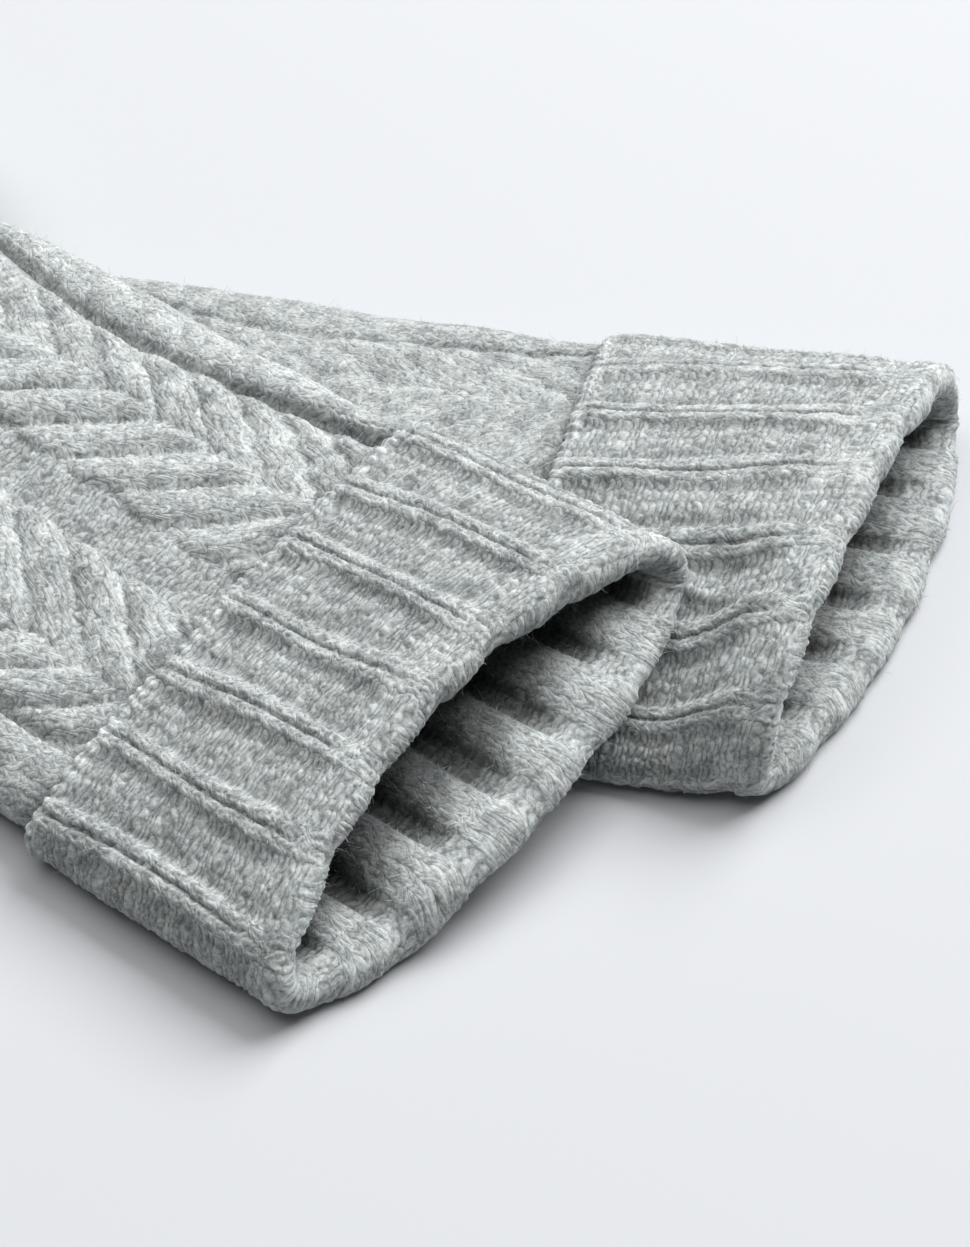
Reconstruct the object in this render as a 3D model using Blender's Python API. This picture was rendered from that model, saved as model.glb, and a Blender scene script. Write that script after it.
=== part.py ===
"""A pair of knitted gloves laid one over the other, with their ribbed cuffs turned back.

Row frame, metres, +Z up. The right glove lies flat with its fingers towards -X and its mouth towards +X.
The left glove is turned by LEFT_TURN and lies across it. Both show their cabled backs.

Each glove is drawn in its own coordinates: s runs from the mouth to the fingertips, v across the hand
(+v is the side away from the viewer) and w up from what the glove rests on.
"""

import math

import bmesh
import bpy
import numpy as np

MM = 0.001

# Driving dimensions of one glove
HALF_WIDTH = 43.4 * MM  # half the cuff's flat width
CUFF_DEPTH = 46.5 * MM  # from the turned mouth back to the hem
HAND_END = 177.0 * MM  # finger roots, from the mouth
WALL = 1.5 * MM  # one layer of the ribbed cuff
HAND_WALL = 1.4 * MM
FINGER_WALL = 1.4 * MM
LAYER_GAP = 0.55 * MM  # between the two layers of the turned cuff
SEAM = 0.3 * MM  # between pieces that are joined by a seam
TUCK = 4.5 * MM  # how far the hand reaches under the cuff's hem

# Rib of the cuff: two knit wales stand proud between four purl wales
WALES = 84
WALES_A_RIB = 6
RIB_RISE = 0.7 * MM

# Wheat-ear cables on the back of the hand: V's that point at the cuff, in two columns
CABLE_REPEAT = 10.3 * MM
CABLE_FIRST = 46.2 * MM  # a valley between two strands
CABLE_MIDDLE = 17.5 * MM  # from the hand's middle to the points of a column's V's
CABLE_SLANT = 1.2  # how far a strand runs along the glove for each step across
SLANT_LEVEL = 6.6 * MM  # the distance from CABLE_MIDDLE at which a slanted row keeps its place
SLANT_FADE = 17.0 * MM  # over this length the rows turn from straight to slanted
GUTTER = 8.0 * MM  # purl strip between the two columns
GUTTER_RISE = 0.3 * MM
VALLEY_RISE = 0.6 * MM
STRAND_RISE = 2.0 * MM
ROLL_RISE = 1.5 * MM  # plain strip that rolls round each side, beyond a crease
NEAR_CREASE = 31.0 * MM
FAR_CREASE = (
    {"from_mouth": 46.5 * MM, "crease": 34.0 * MM},
    {"from_mouth": 60.0 * MM, "crease": 32.0 * MM},
    {"from_mouth": 76.0 * MM, "crease": 28.6 * MM},
    {"from_mouth": 90.0 * MM, "crease": 27.4 * MM},
    {"from_mouth": 106.0 * MM, "crease": 28.2 * MM},
    {"from_mouth": 124.0 * MM, "crease": 32.6 * MM},
    {"from_mouth": 150.0 * MM, "crease": 31.0 * MM},
)

# Where each glove lies, in the row frame
RIGHT_HEM = (0.0843, 0.0015)
LEFT_HEM = (0.0460, -0.0365)
LEFT_TURN = math.radians(-24.8)

# The left glove's underside: its height over the floor along its two edges
DRAPE = (
    {"from_mouth": -10.0 * MM, "near_edge": 0.0 * MM, "far_edge": 16.6 * MM},
    {"from_mouth": 20.0 * MM, "near_edge": 0.0 * MM, "far_edge": 15.9 * MM},
    {"from_mouth": 46.5 * MM, "near_edge": 0.0 * MM, "far_edge": 15.2 * MM},
    {"from_mouth": 65.0 * MM, "near_edge": 1.0 * MM, "far_edge": 14.8 * MM},
    {"from_mouth": 80.0 * MM, "near_edge": 4.0 * MM, "far_edge": 14.6 * MM},
    {"from_mouth": 100.0 * MM, "near_edge": 8.2 * MM, "far_edge": 14.2 * MM},
    {"from_mouth": 125.0 * MM, "near_edge": 10.2 * MM, "far_edge": 13.7 * MM},
    {"from_mouth": 156.0 * MM, "near_edge": 10.6 * MM, "far_edge": 11.4 * MM},
    {"from_mouth": 185.0 * MM, "near_edge": 10.4 * MM, "far_edge": 8.6 * MM},
    {"from_mouth": 215.0 * MM, "near_edge": 9.8 * MM, "far_edge": 5.0 * MM},
    {"from_mouth": 255.0 * MM, "near_edge": 8.0 * MM, "far_edge": 1.5 * MM},
)
DRAPE_FLAT = 6.0 * MM  # strip along the near edge that lies level
DRAPE_FALL_FROM = 8.0 * MM  # beyond the far edge, where the thumb starts to fall
DRAPE_FALL = 30.0 * MM
SETTLE = 3.2 * MM  # how far the left glove's underside sags to the floor along its near edge
LAY_GAP = 0.7 * MM  # kept between the two gloves
PRESS_ROUND = 1.5 * MM
RELEASE = 220.0  # how fast the pressed glove rises beside the one on it, per metre squared
THUMB_REACH = 46.0 * MM

# Heights of the two gloves above what they lie on, and the shape of their mouths
RIGHT_FORM = {
    "hem_height": 16.6 * MM,
    "mouth_height": 25.8 * MM,
    "top_set_back": 0.5 * MM,
    "bottom_reach": 6.8 * MM,
    "skew": 7.7 * MM,
    "hand_heights": (
        (42.0 * MM, 11.3 * MM),
        (62.0 * MM, 12.5 * MM),
        (110.0 * MM, 12.0 * MM),
        (177.0 * MM, 10.4 * MM),
    ),
}
LEFT_FORM = {
    "hem_height": 12.6 * MM,
    "mouth_height": 16.6 * MM,
    "top_set_back": 9.6 * MM,
    "bottom_reach": 7.3 * MM,
    "skew": 1.3 * MM,
    "hand_heights": (
        (42.0 * MM, 8.6 * MM),
        (62.0 * MM, 10.4 * MM),
        (110.0 * MM, 11.2 * MM),
        (177.0 * MM, 10.4 * MM),
    ),
}
HAND_HALF_WIDTHS = (
    (42.0 * MM, 40.2 * MM),
    (62.0 * MM, 40.8 * MM),
    (115.0 * MM, 41.2 * MM),
    (177.0 * MM, 41.6 * MM),
)
SIDE_HEIGHT = 6.0 * MM  # height of a cuff's rounded edge at its widest
HAND_SIDE = 0.48  # the same on the hand, as a share of its height
CUFF_FULLNESS = 2.3
HAND_FULLNESS = 2.8
UNDERSIDE_FULLNESS = 4.0
FLAT_PRESS = 0.3 * MM  # how far the underside is pressed level

# Fingers from the thumb side to the little finger: centre across the hand, half width, length, splay
FINGERS = (
    {"name": "index", "centre": 31.2 * MM, "half": 10.0 * MM, "length": 66.0 * MM, "splay": 2.0},
    {"name": "middle", "centre": 10.4 * MM, "half": 10.2 * MM, "length": 75.0 * MM, "splay": 0.6},
    {"name": "ring", "centre": -10.4 * MM, "half": 10.0 * MM, "length": 68.0 * MM, "splay": -1.0},
    {"name": "little", "centre": -30.9 * MM, "half": 9.6 * MM, "length": 54.0 * MM, "splay": -3.0},
)
FINGER_HEIGHT = 9.0 * MM
FINGER_TIP = 13.0 * MM  # how far the rounded tip reaches
THUMB_SLIT = (142.5 * MM, 163.5 * MM)
THUMB_LENGTH = 56.0 * MM
THUMB_HALF = 10.4 * MM
THUMB_SPLAY = {"left": 24.0, "right": 16.0}
THUMB_HEIGHT = 9.0 * MM
THUMB_ROOT_RISE = 4.1 * MM  # half the height of the thumb's root on the hand's side
THUMB_ROOT_GAP = 1.9 * MM

# Places round the hand: over the back from its middle to a column's V points, on to the crease, over
# the roll, and under the palm
GUTTER_PLACES = (4.0 * MM, 6.3 * MM, 11.5 * MM, 17.5 * MM)
SHARES_TO_CREASE = (0.42, 0.84, 1.0)
ROLL_SHARES = (0.2, 0.55, 0.86)
PALM_SHARES = (0.98, 0.88, 0.67, 0.34)
CUFF_ROWS = {"left": (24.0 * MM,), "right": (19.0 * MM, 26.0 * MM, 33.0 * MM)}
AROUND_BACK = len(GUTTER_PLACES) + len(SHARES_TO_CREASE) + len(ROLL_SHARES)
AROUND_HAND = 2 * (AROUND_BACK + len(PALM_SHARES)) + 4
AROUND_FINGER = 12
ROWS_A_REPEAT = (0.0, 0.3, 0.7)  # a valley and the strand's two shoulders

MARL_GREY = (0.36, 0.39, 0.39, 1.0)


def smooth_table(places, values, at):
    """A smooth curve through a short table, level beyond its ends."""
    places = np.asarray(places, float)
    values = np.asarray(values, float)
    slopes = np.gradient(values, places)
    at = np.clip(at, places[0], places[-1])
    i = np.clip(np.searchsorted(places, at, side="right") - 1, 0, len(places) - 2)
    step = places[i + 1] - places[i]
    t = (at - places[i]) / step
    return (
        (2 * t**3 - 3 * t**2 + 1) * values[i]
        + (t**3 - 2 * t**2 + t) * step * slopes[i]
        + (3 * t**2 - 2 * t**3) * values[i + 1]
        + (t**3 - t**2) * step * slopes[i + 1]
    )


def column(rows, name):
    return [row[name] for row in rows]


def eased(t):
    t = np.clip(t, 0.0, 1.0)
    return t * t * (3 - 2 * t)


def upper(v, half, high, side, fullness):
    """Height of a section's upper surface at v."""
    reach = np.clip(1 - np.abs(v / half) ** fullness, 0, 1)
    return side + (high - side) * reach ** (1 / fullness)


def lower(v, half, low, side):
    """Height of a section's underside at v, pressed level at low."""
    reach = np.clip(1 - np.abs(v / half) ** UNDERSIDE_FULLNESS, 0, 1)
    return np.maximum(side - (side - low + FLAT_PRESS) * reach ** (1 / UNDERSIDE_FULLNESS), low)


def half_at(w, half, low, high, side, fullness):
    """Half width of a section at the height w."""
    above = np.clip((w - side) / (high - side), 0, 1)
    below = np.clip((side - w) / (side - low + FLAT_PRESS), 0, 1)
    top = (1 - above**fullness) ** (1 / fullness)
    return half * np.where(w >= side, top, (1 - below**UNDERSIDE_FULLNESS) ** (1 / UNDERSIDE_FULLNESS))


def lens(half_width, low, high, side, fullness, count):
    """A closed ring of count points (v, w), evenly spaced from the top centre towards +v."""
    across = half_width * np.sin(np.linspace(0, np.pi / 2, 361))
    quarter_up = np.stack([across, upper(across, half_width, high, side, fullness)], 1)
    quarter_down = np.stack([across, lower(across, half_width, low, side)], 1)[::-1]
    right_half = np.concatenate([quarter_up, quarter_down[1:]])
    left_half = (right_half * [-1, 1])[::-1]
    ring = np.concatenate([right_half, left_half[1:]])
    run = np.concatenate([[0], np.cumsum(np.hypot(*np.diff(ring, axis=0).T))])
    want = (np.arange(count) + 0.5) / count * run[-1]
    return np.stack([np.interp(want, run, ring[:, 0]), np.interp(want, run, ring[:, 1])], 1)


def outward(ring):
    """Unit normals of a ring of points (v, w), pointing out."""
    along = np.roll(ring, -1, 0) - np.roll(ring, 1, 0)
    along /= np.linalg.norm(along, axis=1, keepdims=True)
    return np.stack([-along[:, 1], along[:, 0]], 1)


def rib_wave():
    """1 on a knit wale of the outside and 0 on a purl one, for each wale round the cuff."""
    wale = np.arange(WALES) % WALES_A_RIB
    return ((wale == 0) | (wale == WALES_A_RIB - 1)).astype(float)


def crease_at(s, v):
    """Distance from the hand's middle to the crease on the side that v is on."""
    far = smooth_table(column(FAR_CREASE, "from_mouth"), column(FAR_CREASE, "crease"), s)
    return np.where(v > 0, far, NEAR_CREASE)


def row_slant(row, v, half_width):
    """How far a row of the back is moved along the glove at v, so that it follows the strands."""
    crease = crease_at(row, v)
    to_crease = np.minimum(np.abs(v), crease)
    past_crease = np.clip((half_width - np.abs(v)) / (half_width - crease), 0, 1)
    slant = CABLE_SLANT * (np.abs(to_crease - CABLE_MIDDLE) - SLANT_LEVEL) * past_crease
    start, end = CUFF_DEPTH - TUCK, HAND_END
    return slant * eased((row - start) / SLANT_FADE) * eased((end - row) / SLANT_FADE)


def back_rise(row, s, v, half_width):
    """Height of the back's relief over its plain ground, on a row, at s and v.

    A row follows the strands, so a strand's height depends on the row alone. The relief is nothing at
    the crease that parts each column from the rolled edge.
    """
    crease = crease_at(row, v)
    across = np.abs(v)
    strand = np.abs(np.sin(np.pi * (row - CABLE_FIRST) / CABLE_REPEAT)) ** 0.7
    top = VALLEY_RISE + (STRAND_RISE - VALLEY_RISE) * strand
    from_gutter = eased((across - GUTTER / 2) / (2 * MM))
    columns = (GUTTER_RISE + (top - GUTTER_RISE) * from_gutter) * eased((crease - across) / (2 * MM))
    roll = ROLL_RISE * np.sqrt(np.sin(np.pi * np.clip((across - crease) / (half_width - crease), 0, 1)))
    # The roll flattens beside the thumb's root.
    past_start = eased((s - THUMB_SLIT[0] + 12 * MM) / (9 * MM))
    roll = roll * (1 - past_start * eased((THUMB_SLIT[1] + 12 * MM - s) / (9 * MM)))
    ends = eased((s - CUFF_DEPTH - 0.6 * MM) / (4 * MM)) * eased((HAND_END - 1 * MM - s) / (6 * MM))
    return ends * np.where(across < crease, columns, roll)


def glove_place(side, s, v):
    """Row-frame x and y of a point of a glove."""
    hem, turn = (RIGHT_HEM, 0.0) if side == "right" else (LEFT_HEM, LEFT_TURN)
    ahead = CUFF_DEPTH - s
    x = hem[0] + ahead * math.cos(turn) - v * math.sin(turn)
    y = hem[1] + ahead * math.sin(turn) + v * math.cos(turn)
    return x, y


def left_coordinates(x, y):
    """The left glove's s and v at a place in the row frame."""
    dx, dy = x - LEFT_HEM[0], y - LEFT_HEM[1]
    ahead = dx * math.cos(LEFT_TURN) + dy * math.sin(LEFT_TURN)
    return CUFF_DEPTH - ahead, dy * math.cos(LEFT_TURN) - dx * math.sin(LEFT_TURN)


def left_ground(s, v):
    """Height of what the left glove lies on: a level strip, a slope, and a fall past its far edge."""
    places = column(DRAPE, "from_mouth")
    near = smooth_table(places, column(DRAPE, "near_edge"), s)
    far = smooth_table(places, column(DRAPE, "far_edge"), s)
    across = np.clip((v + HALF_WIDTH - DRAPE_FLAT) / (2 * HALF_WIDTH - DRAPE_FLAT), 0, None)
    beyond = eased((v - HALF_WIDTH - DRAPE_FALL_FROM) / DRAPE_FALL)
    return np.maximum(near + (far - near) * np.minimum(across, 1.0), 0.0) * (1 - beyond)


def room_under_left(x, y):
    """The greatest height that the right glove may have at a place in the row frame."""
    s, v = left_coordinates(x, y)
    reach = THUMB_REACH * eased((s - THUMB_SLIT[0] + 8 * MM) / (12 * MM)) * eased((232 * MM - s) / (12 * MM))
    edge = HALF_WIDTH + 1.3 * MM
    beside = np.maximum(np.maximum(v - edge - reach, -v - edge), 0)
    middle = np.clip(1 - (v / HALF_WIDTH) ** 2, 0, 1)
    ahead = np.maximum(-s - LEFT_FORM["bottom_reach"] * middle - 1.5 * MM, 0)
    rounded = 0.4 * lower(np.minimum(np.abs(v), HALF_WIDTH), HALF_WIDTH, 0.0, SIDE_HEIGHT)
    rounded = rounded * eased((THUMB_SLIT[0] - 4 * MM - s) / (20 * MM))
    return left_ground(s, v) + rounded - LAY_GAP + RELEASE * (beside**2 + ahead**2)


def rounded_min(a, b):
    """The lesser of two heights, rounded where they meet and never above either."""
    h = np.maximum(PRESS_ROUND - np.abs(a - b), 0) / PRESS_ROUND
    return np.minimum(a, b) - h * h * PRESS_ROUND / 4


def full_height(form, s):
    """Greatest height of a glove at s, with its relief."""
    heights = [row[1] for row in form["hand_heights"]]
    hand = smooth_table([row[0] for row in form["hand_heights"]], heights, s)
    hand = hand + STRAND_RISE * eased((HAND_END - s) / (8 * MM))
    hand = hand + (FINGER_HEIGHT - heights[-1]) * eased((s - HAND_END) / (4 * MM))
    cuff = cuff_height(form, s) + RIB_RISE
    return cuff + (hand - cuff) * hem_blend(s)


def cuff_height(form, s):
    return form["mouth_height"] + (form["hem_height"] - form["mouth_height"]) * np.clip(s / CUFF_DEPTH, 0, 1)


def hem_blend(s):
    """0 under the cuff and 1 where the hand has its own section."""
    return eased((s - CUFF_DEPTH) / (12 * MM))


def to_row(side, s, v, w):
    """Row-frame points of a glove."""
    x, y = glove_place(side, s, v)
    if side == "right":
        own = full_height(RIGHT_FORM, s)
        return np.stack([x, y, w * rounded_min(own, room_under_left(x, y)) / own], -1)
    ground = left_ground(s, v)
    sag = SETTLE * eased((-v - 14 * MM) / (12 * MM)) * eased((95 * MM - s) / (20 * MM))
    settled = np.maximum(ground - sag, 0.0)
    return np.stack([x, y, w + ground + (settled - ground) * (1 - np.clip(w / SIDE_HEIGHT, 0, 1))], -1)


def wrap_faces(rows, count, first=0):
    """Quads between neighbouring rings of one surface, given the ring numbers in order."""
    quads = []
    for a, b in zip(rows, rows[1:]):
        for j in range(count):
            k = (j + 1) % count
            corners = (a * count + j, a * count + k, b * count + k, b * count + j)
            quads.append(tuple(first + corner for corner in corners))
    return quads


def yarn_material(name):
    material = bpy.data.materials.new(name)
    material.use_nodes = True
    shader = material.node_tree.nodes["Principled BSDF"]
    shader.inputs["Base Color"].default_value = MARL_GREY
    shader.inputs["Roughness"].default_value = 0.92
    shader.inputs["Metallic"].default_value = 0.0
    return material


def add_piece(name, points, faces):
    """One closed piece of knitting as an object, its faces turned outwards."""
    mesh = bpy.data.meshes.new(name)
    mesh.from_pydata([tuple(map(float, p)) for p in points], [], faces)
    shape = bmesh.new()
    shape.from_mesh(mesh)
    bmesh.ops.recalc_face_normals(shape, faces=shape.faces)
    shape.to_mesh(mesh)
    shape.free()
    mesh.shade_smooth()
    mesh.set_sharp_from_angle(angle=math.radians(40))
    mesh.materials.append(yarn_material(name))
    piece = bpy.data.objects.new(name, mesh)
    bpy.context.scene.collection.objects.link(piece)
    return piece


def cuff_profile(between):
    """The turned cuff's section in rows: place from the mouth, depth in the wall, and which face it is on.

    between holds the places of the rows between the mouth and the hem.
    """
    fold = WALL + LAYER_GAP / 2
    depth = 2 * WALL + LAYER_GAP
    turn_at = fold + 1 * MM
    inner_end = CUFF_DEPTH - TUCK
    rows = [(s, 0.0, "outer") for s in (CUFF_DEPTH, *between[::-1], turn_at)]
    for angle in (40, 90, 140):
        turned = math.radians(angle)
        rows.append((turn_at - turn_at * math.sin(turned), fold - fold * math.cos(turned), "fold"))
    rows += [(s, depth, "hollow") for s in (turn_at, *between, inner_end)]
    rows += [(s, WALL + LAYER_GAP, "hidden") for s in (inner_end, *between[::-1], turn_at + 1 * MM)]
    rows += [(s, WALL, "hidden") for s in (turn_at + 1 * MM, *between, CUFF_DEPTH)]
    return rows


def make_cuff(side, form):
    """The ribbed band, double because it is turned back at the mouth."""
    wave = rib_wave()
    rings = []
    for s, depth, face in cuff_profile(CUFF_ROWS[side]):
        high = cuff_height(form, s)
        ring = lens(HALF_WIDTH - depth, depth, high - depth, SIDE_HEIGHT, CUFF_FULLNESS, WALES)
        rise = {"outer": wave, "fold": 0.5 * wave, "hollow": wave - 1, "hidden": 0 * wave}[face]
        ring = ring + outward(ring) * (rise * RIB_RISE)[:, None]
        v, w = ring[:, 0], np.maximum(ring[:, 1], 0.0)
        to_mouth = np.clip(1 - s / (CUFF_DEPTH - TUCK), 0, 1)
        lip = np.where(w > SIDE_HEIGHT, form["top_set_back"], -form["bottom_reach"])
        lip = lip * np.clip(1 - (v / HALF_WIDTH) ** 2, 0, 1)
        lip = lip * np.minimum(np.abs(w - SIDE_HEIGHT) / (3 * MM), 1)
        rings.append(to_row(side, s + to_mouth * (lip - form["skew"] * v / HALF_WIDTH), v, w))
    faces = wrap_faces(list(range(len(rings))) + [0], WALES)
    return add_piece(side + "_cuff", np.concatenate(rings), faces)


def hand_section(form, s):
    """Half width, low, high and side height of the hand at s. Under the hem it fits the cuff."""
    t = hem_blend(s)
    half = smooth_table([row[0] for row in HAND_HALF_WIDTHS], [row[1] for row in HAND_HALF_WIDTHS], s)
    high = smooth_table([row[0] for row in form["hand_heights"]], [row[1] for row in form["hand_heights"]], s)
    inset = WALL + LAYER_GAP
    return (
        half * t + (HALF_WIDTH - inset) * (1 - t),
        inset * (1 - t),
        high * t + (cuff_height(form, s) - inset) * (1 - t),
        high * HAND_SIDE * t + SIDE_HEIGHT * (1 - t),
    )


def hand_ring(side, form, row, depth):
    """One ring of the hand's outer face (depth 0) or inner face, from the top centre towards +v."""
    half, low, high, side_height = hand_section(form, row)
    fullness = CUFF_FULLNESS + (HAND_FULLNESS - CUFF_FULLNESS) * hem_blend(row)

    def over_back(sign):
        crease = float(crease_at(row, sign))
        to_crease = [CABLE_MIDDLE + (crease - CABLE_MIDDLE) * share for share in SHARES_TO_CREASE]
        roll = [crease + (half - crease) * share for share in ROLL_SHARES]
        return sign * np.array([*GUTTER_PLACES, *to_crease, *roll])

    back = np.concatenate([[0], over_back(1)])
    other_back = over_back(-1)[::-1]
    palm = half * np.array([*PALM_SHARES, 0.0, *[-share for share in PALM_SHARES[::-1]]])
    v = np.concatenate([back, [half], palm, [-half], other_back])
    on_back = np.concatenate([np.ones(len(back)), np.zeros(len(palm) + 2), np.ones(len(other_back))])
    inner_v = v * (half - depth) / half
    above = upper(inner_v, half - depth, high - depth, side_height, fullness)
    w = np.where(on_back > 0, above, lower(inner_v, half - depth, low + depth, side_height))
    w[[len(back), len(back) + len(palm) + 1]] = side_height
    s = np.full_like(v, row)
    if depth == 0:
        s = s + on_back * row_slant(row, v, half)
        w = w + on_back * back_rise(row, s, v, half)
    return to_row(side, s, inner_v, w)


def hand_rows():
    """Places of the hand's rings: under the hem, then three for each repeat of the cable."""
    rows = [CUFF_DEPTH - TUCK + SEAM, CUFF_DEPTH - 1 * MM]
    repeats = int((HAND_END - CABLE_FIRST) / CABLE_REPEAT) + 1
    rows += [CABLE_FIRST + (n + part) * CABLE_REPEAT for n in range(repeats) for part in ROWS_A_REPEAT]
    return [row for row in rows if row < HAND_END - 1.5 * MM] + [HAND_END]


def make_hand(side, form):
    """The hand: a tube with cables on its back, a plain palm and a slit for the thumb."""
    places = hand_rows()
    slit = [min(range(len(places)), key=lambda i: abs(places[i] - place)) for place in THUMB_SLIT]
    spread = [0, 2] + [round((len(places) - 1) * part) for part in (0.2, 0.36, 0.52, 0.66)]
    inner_rows = sorted(set(spread) | {slit[0], slit[1], len(places) - 1})
    rings = [hand_ring(side, form, s, 0.0) for s in places]
    rings += [hand_ring(side, form, places[i], HAND_WALL) for i in inner_rows]
    count = AROUND_HAND
    last = len(places) - 1
    inner_of = {row: last + 1 + n for n, row in enumerate(inner_rows)}
    # The two quads astride the side's widest line are left out between the slit's rows.
    widest = AROUND_BACK + 1
    widest = widest if side == "left" else count - widest
    gap = (widest - 1, widest)

    def at(ring, j):
        return ring * count + j % count

    def strip(a, b, j):
        """A quad between two rings, from place j to the next."""
        return (at(a, j), at(a, j + 1), at(b, j + 1), at(b, j))

    faces = []
    for i in range(last):
        faces += [strip(i, i + 1, j) for j in range(count) if not (slit[0] <= i < slit[1] and j in gap)]
    for a, b in zip(inner_rows, inner_rows[1:]):
        faces += [strip(inner_of[b], inner_of[a], j) for j in range(count) if not (a == slit[0] and j in gap)]
    for row in (0, last):
        faces += [strip(row, inner_of[row], j) for j in range(count)]
    for row in slit:
        faces += [strip(row, inner_of[row], j) for j in gap]
    for j in (gap[0], gap[1] + 1):
        lip = [at(i, j) for i in range(slit[0], slit[1] + 1)]
        faces.append(tuple(lip + [at(inner_of[slit[1]], j), at(inner_of[slit[0]], j)]))
    points = np.concatenate(rings)
    used = sorted({p for face in faces for p in face})
    renumbered = {p: n for n, p in enumerate(used)}
    return add_piece(side + "_hand", points[used], [tuple(renumbered[p] for p in face) for face in faces])


def tip_scale(distance, reach):
    """How a finger narrows towards its tip, as a quarter of an ellipse."""
    t = np.clip(1 - distance / reach, 0, 1)
    return math.sqrt(max(1 - t * t, 0.0))


def finger_section(half, height, depth, scale):
    """A flattened finger's ring (across, w), inside its outer face by depth and narrowed by scale."""
    ring = lens(half - depth, depth, height - depth, height / 2, CUFF_FULLNESS, AROUND_FINGER)
    ring[:, 1] -= height / 2
    ring *= scale
    ring[:, 1] += height / 2
    return ring


def close_tube(name, outer, inner, outer_tip, inner_tip):
    """A finger: outer rings from root to tip, inner rings the same way, each closed at its tip."""
    count = AROUND_FINGER
    n_out, n_in = len(outer), len(inner)
    points = np.concatenate(outer + inner + [outer_tip[None], inner_tip[None]])
    tip_out, tip_in = (n_out + n_in) * count, (n_out + n_in) * count + 1
    faces = wrap_faces(list(range(n_out)), count)
    faces += [tuple(reversed(quad)) for quad in wrap_faces(list(range(n_in)), count, n_out * count)]
    for j in range(count):
        k = (j + 1) % count
        faces.append(((n_out - 1) * count + j, (n_out - 1) * count + k, tip_out))
        faces.append(((n_out + n_in - 1) * count + k, (n_out + n_in - 1) * count + j, tip_in))
        faces.append((k, j, n_out * count + j, n_out * count + k))
    return add_piece(name, points, faces)


def make_finger(side, form, finger):
    """One finger, a flattened tube from the knuckles to a rounded tip."""
    sign = 1 if side == "left" else -1
    splay = math.radians(finger["splay"]) * sign
    root = HAND_END + SEAM
    length, half = finger["length"], finger["half"]
    height = FINGER_HEIGHT

    def point_row(along, across, w):
        s = root + along * math.cos(splay) - across * math.sin(splay)
        v = sign * finger["centre"] + along * math.sin(splay) + across * math.cos(splay)
        return to_row(side, s, v, w)

    def ring_at(along, depth, end):
        section = finger_section(half, height, depth, tip_scale(end - along, FINGER_TIP - depth))
        blend = np.clip(along / (6 * MM), 0, 1)
        across = section[:, 0]
        place = along + 0 * across
        # The root is cut square to the hand, whatever the finger's splay.
        place = place + (1 - blend) * across * math.tan(splay)
        return point_row(place, across, section[:, 1])

    outer_at = [0.0, 6 * MM, 0.35 * length, 0.65 * length]
    outer_at += [length - FINGER_TIP, length - 6 * MM, length - 1.5 * MM]
    inner_end = length - FINGER_WALL
    inner_at = [0.0, 6 * MM, 0.5 * length, length - FINGER_TIP, inner_end - 3 * MM]
    outer = [ring_at(along, 0.0, length) for along in outer_at]
    inner = [ring_at(along, FINGER_WALL, inner_end) for along in inner_at]
    middle = np.array([height / 2])
    outer_tip = point_row(np.array([length]), np.array([0.0]), middle)[0]
    inner_tip = point_row(np.array([inner_end]), np.array([0.0]), middle)[0]
    return close_tube(f"{side}_{finger['name']}", outer, inner, outer_tip, inner_tip)


def make_thumb(side, form):
    """The thumb: its root fits the hand's rounded side over the slit, then it turns along the hand."""
    sign = 1 if side == "left" else -1
    splay = math.radians(THUMB_SPLAY[side])
    root_s = sum(THUMB_SLIT) / 2
    root_half = (THUMB_SLIT[1] - THUMB_SLIT[0]) / 2
    section_of_hand = hand_section(form, root_s)
    side_height = section_of_hand[3]
    bend = 16 * MM  # over this length the root turns from square to the hand to along the thumb
    start = np.array([root_s, section_of_hand[0] + THUMB_ROOT_GAP])
    elbow = start + np.array([12 * MM, 10.5 * MM])
    ahead = np.array([math.cos(splay), math.sin(splay)])

    def centre(along):
        t = along / bend
        if t >= 1:
            return elbow + (along - bend) * ahead
        return (1 - t) ** 2 * start + 2 * t * (1 - t) * (start + np.array([3.5 * MM, 8 * MM])) + t * t * elbow

    def ring_at(along, depth, end):
        t = float(eased(along / bend)) ** 1.3
        heading = math.radians(90) * (1 - t) + splay * t
        across = np.array([-math.sin(heading), math.cos(heading)])
        half = root_half * (1 - t) + THUMB_HALF * t
        section = finger_section(half, THUMB_HEIGHT, depth, tip_scale(end - along, FINGER_TIP - depth))
        rise = section[:, 1] - THUMB_HEIGHT / 2
        squat = 2 * THUMB_ROOT_RISE / THUMB_HEIGHT * (1 - t) + t
        w = side_height * (1 - t) + THUMB_HEIGHT / 2 * t + rise * squat
        place = centre(along)[None] + section[:, :1] * across[None]
        if along == 0:
            place[:, 1] += half_at(w, *section_of_hand, HAND_FULLNESS) - section_of_hand[0]
        return to_row(side, place[:, 0], sign * place[:, 1], w)

    outer_at = [0.0, 5 * MM, 10 * MM, bend, 0.6 * THUMB_LENGTH, THUMB_LENGTH - FINGER_TIP]
    outer_at += [THUMB_LENGTH - 6 * MM, THUMB_LENGTH - 1.5 * MM]
    inner_end = THUMB_LENGTH - FINGER_WALL
    inner_at = [0.0, 5 * MM, 10 * MM, bend, THUMB_LENGTH - FINGER_TIP, inner_end - 3 * MM]
    outer = [ring_at(along, 0.0, THUMB_LENGTH) for along in outer_at]
    inner = [ring_at(along, FINGER_WALL, inner_end) for along in inner_at]
    tips = []
    for along in (THUMB_LENGTH, inner_end):
        place = centre(along)
        tips.append(to_row(side, place[:1], sign * place[1:], np.array([THUMB_HEIGHT / 2]))[0])
    return close_tube(side + "_thumb", outer, inner, tips[0], tips[1])


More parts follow.
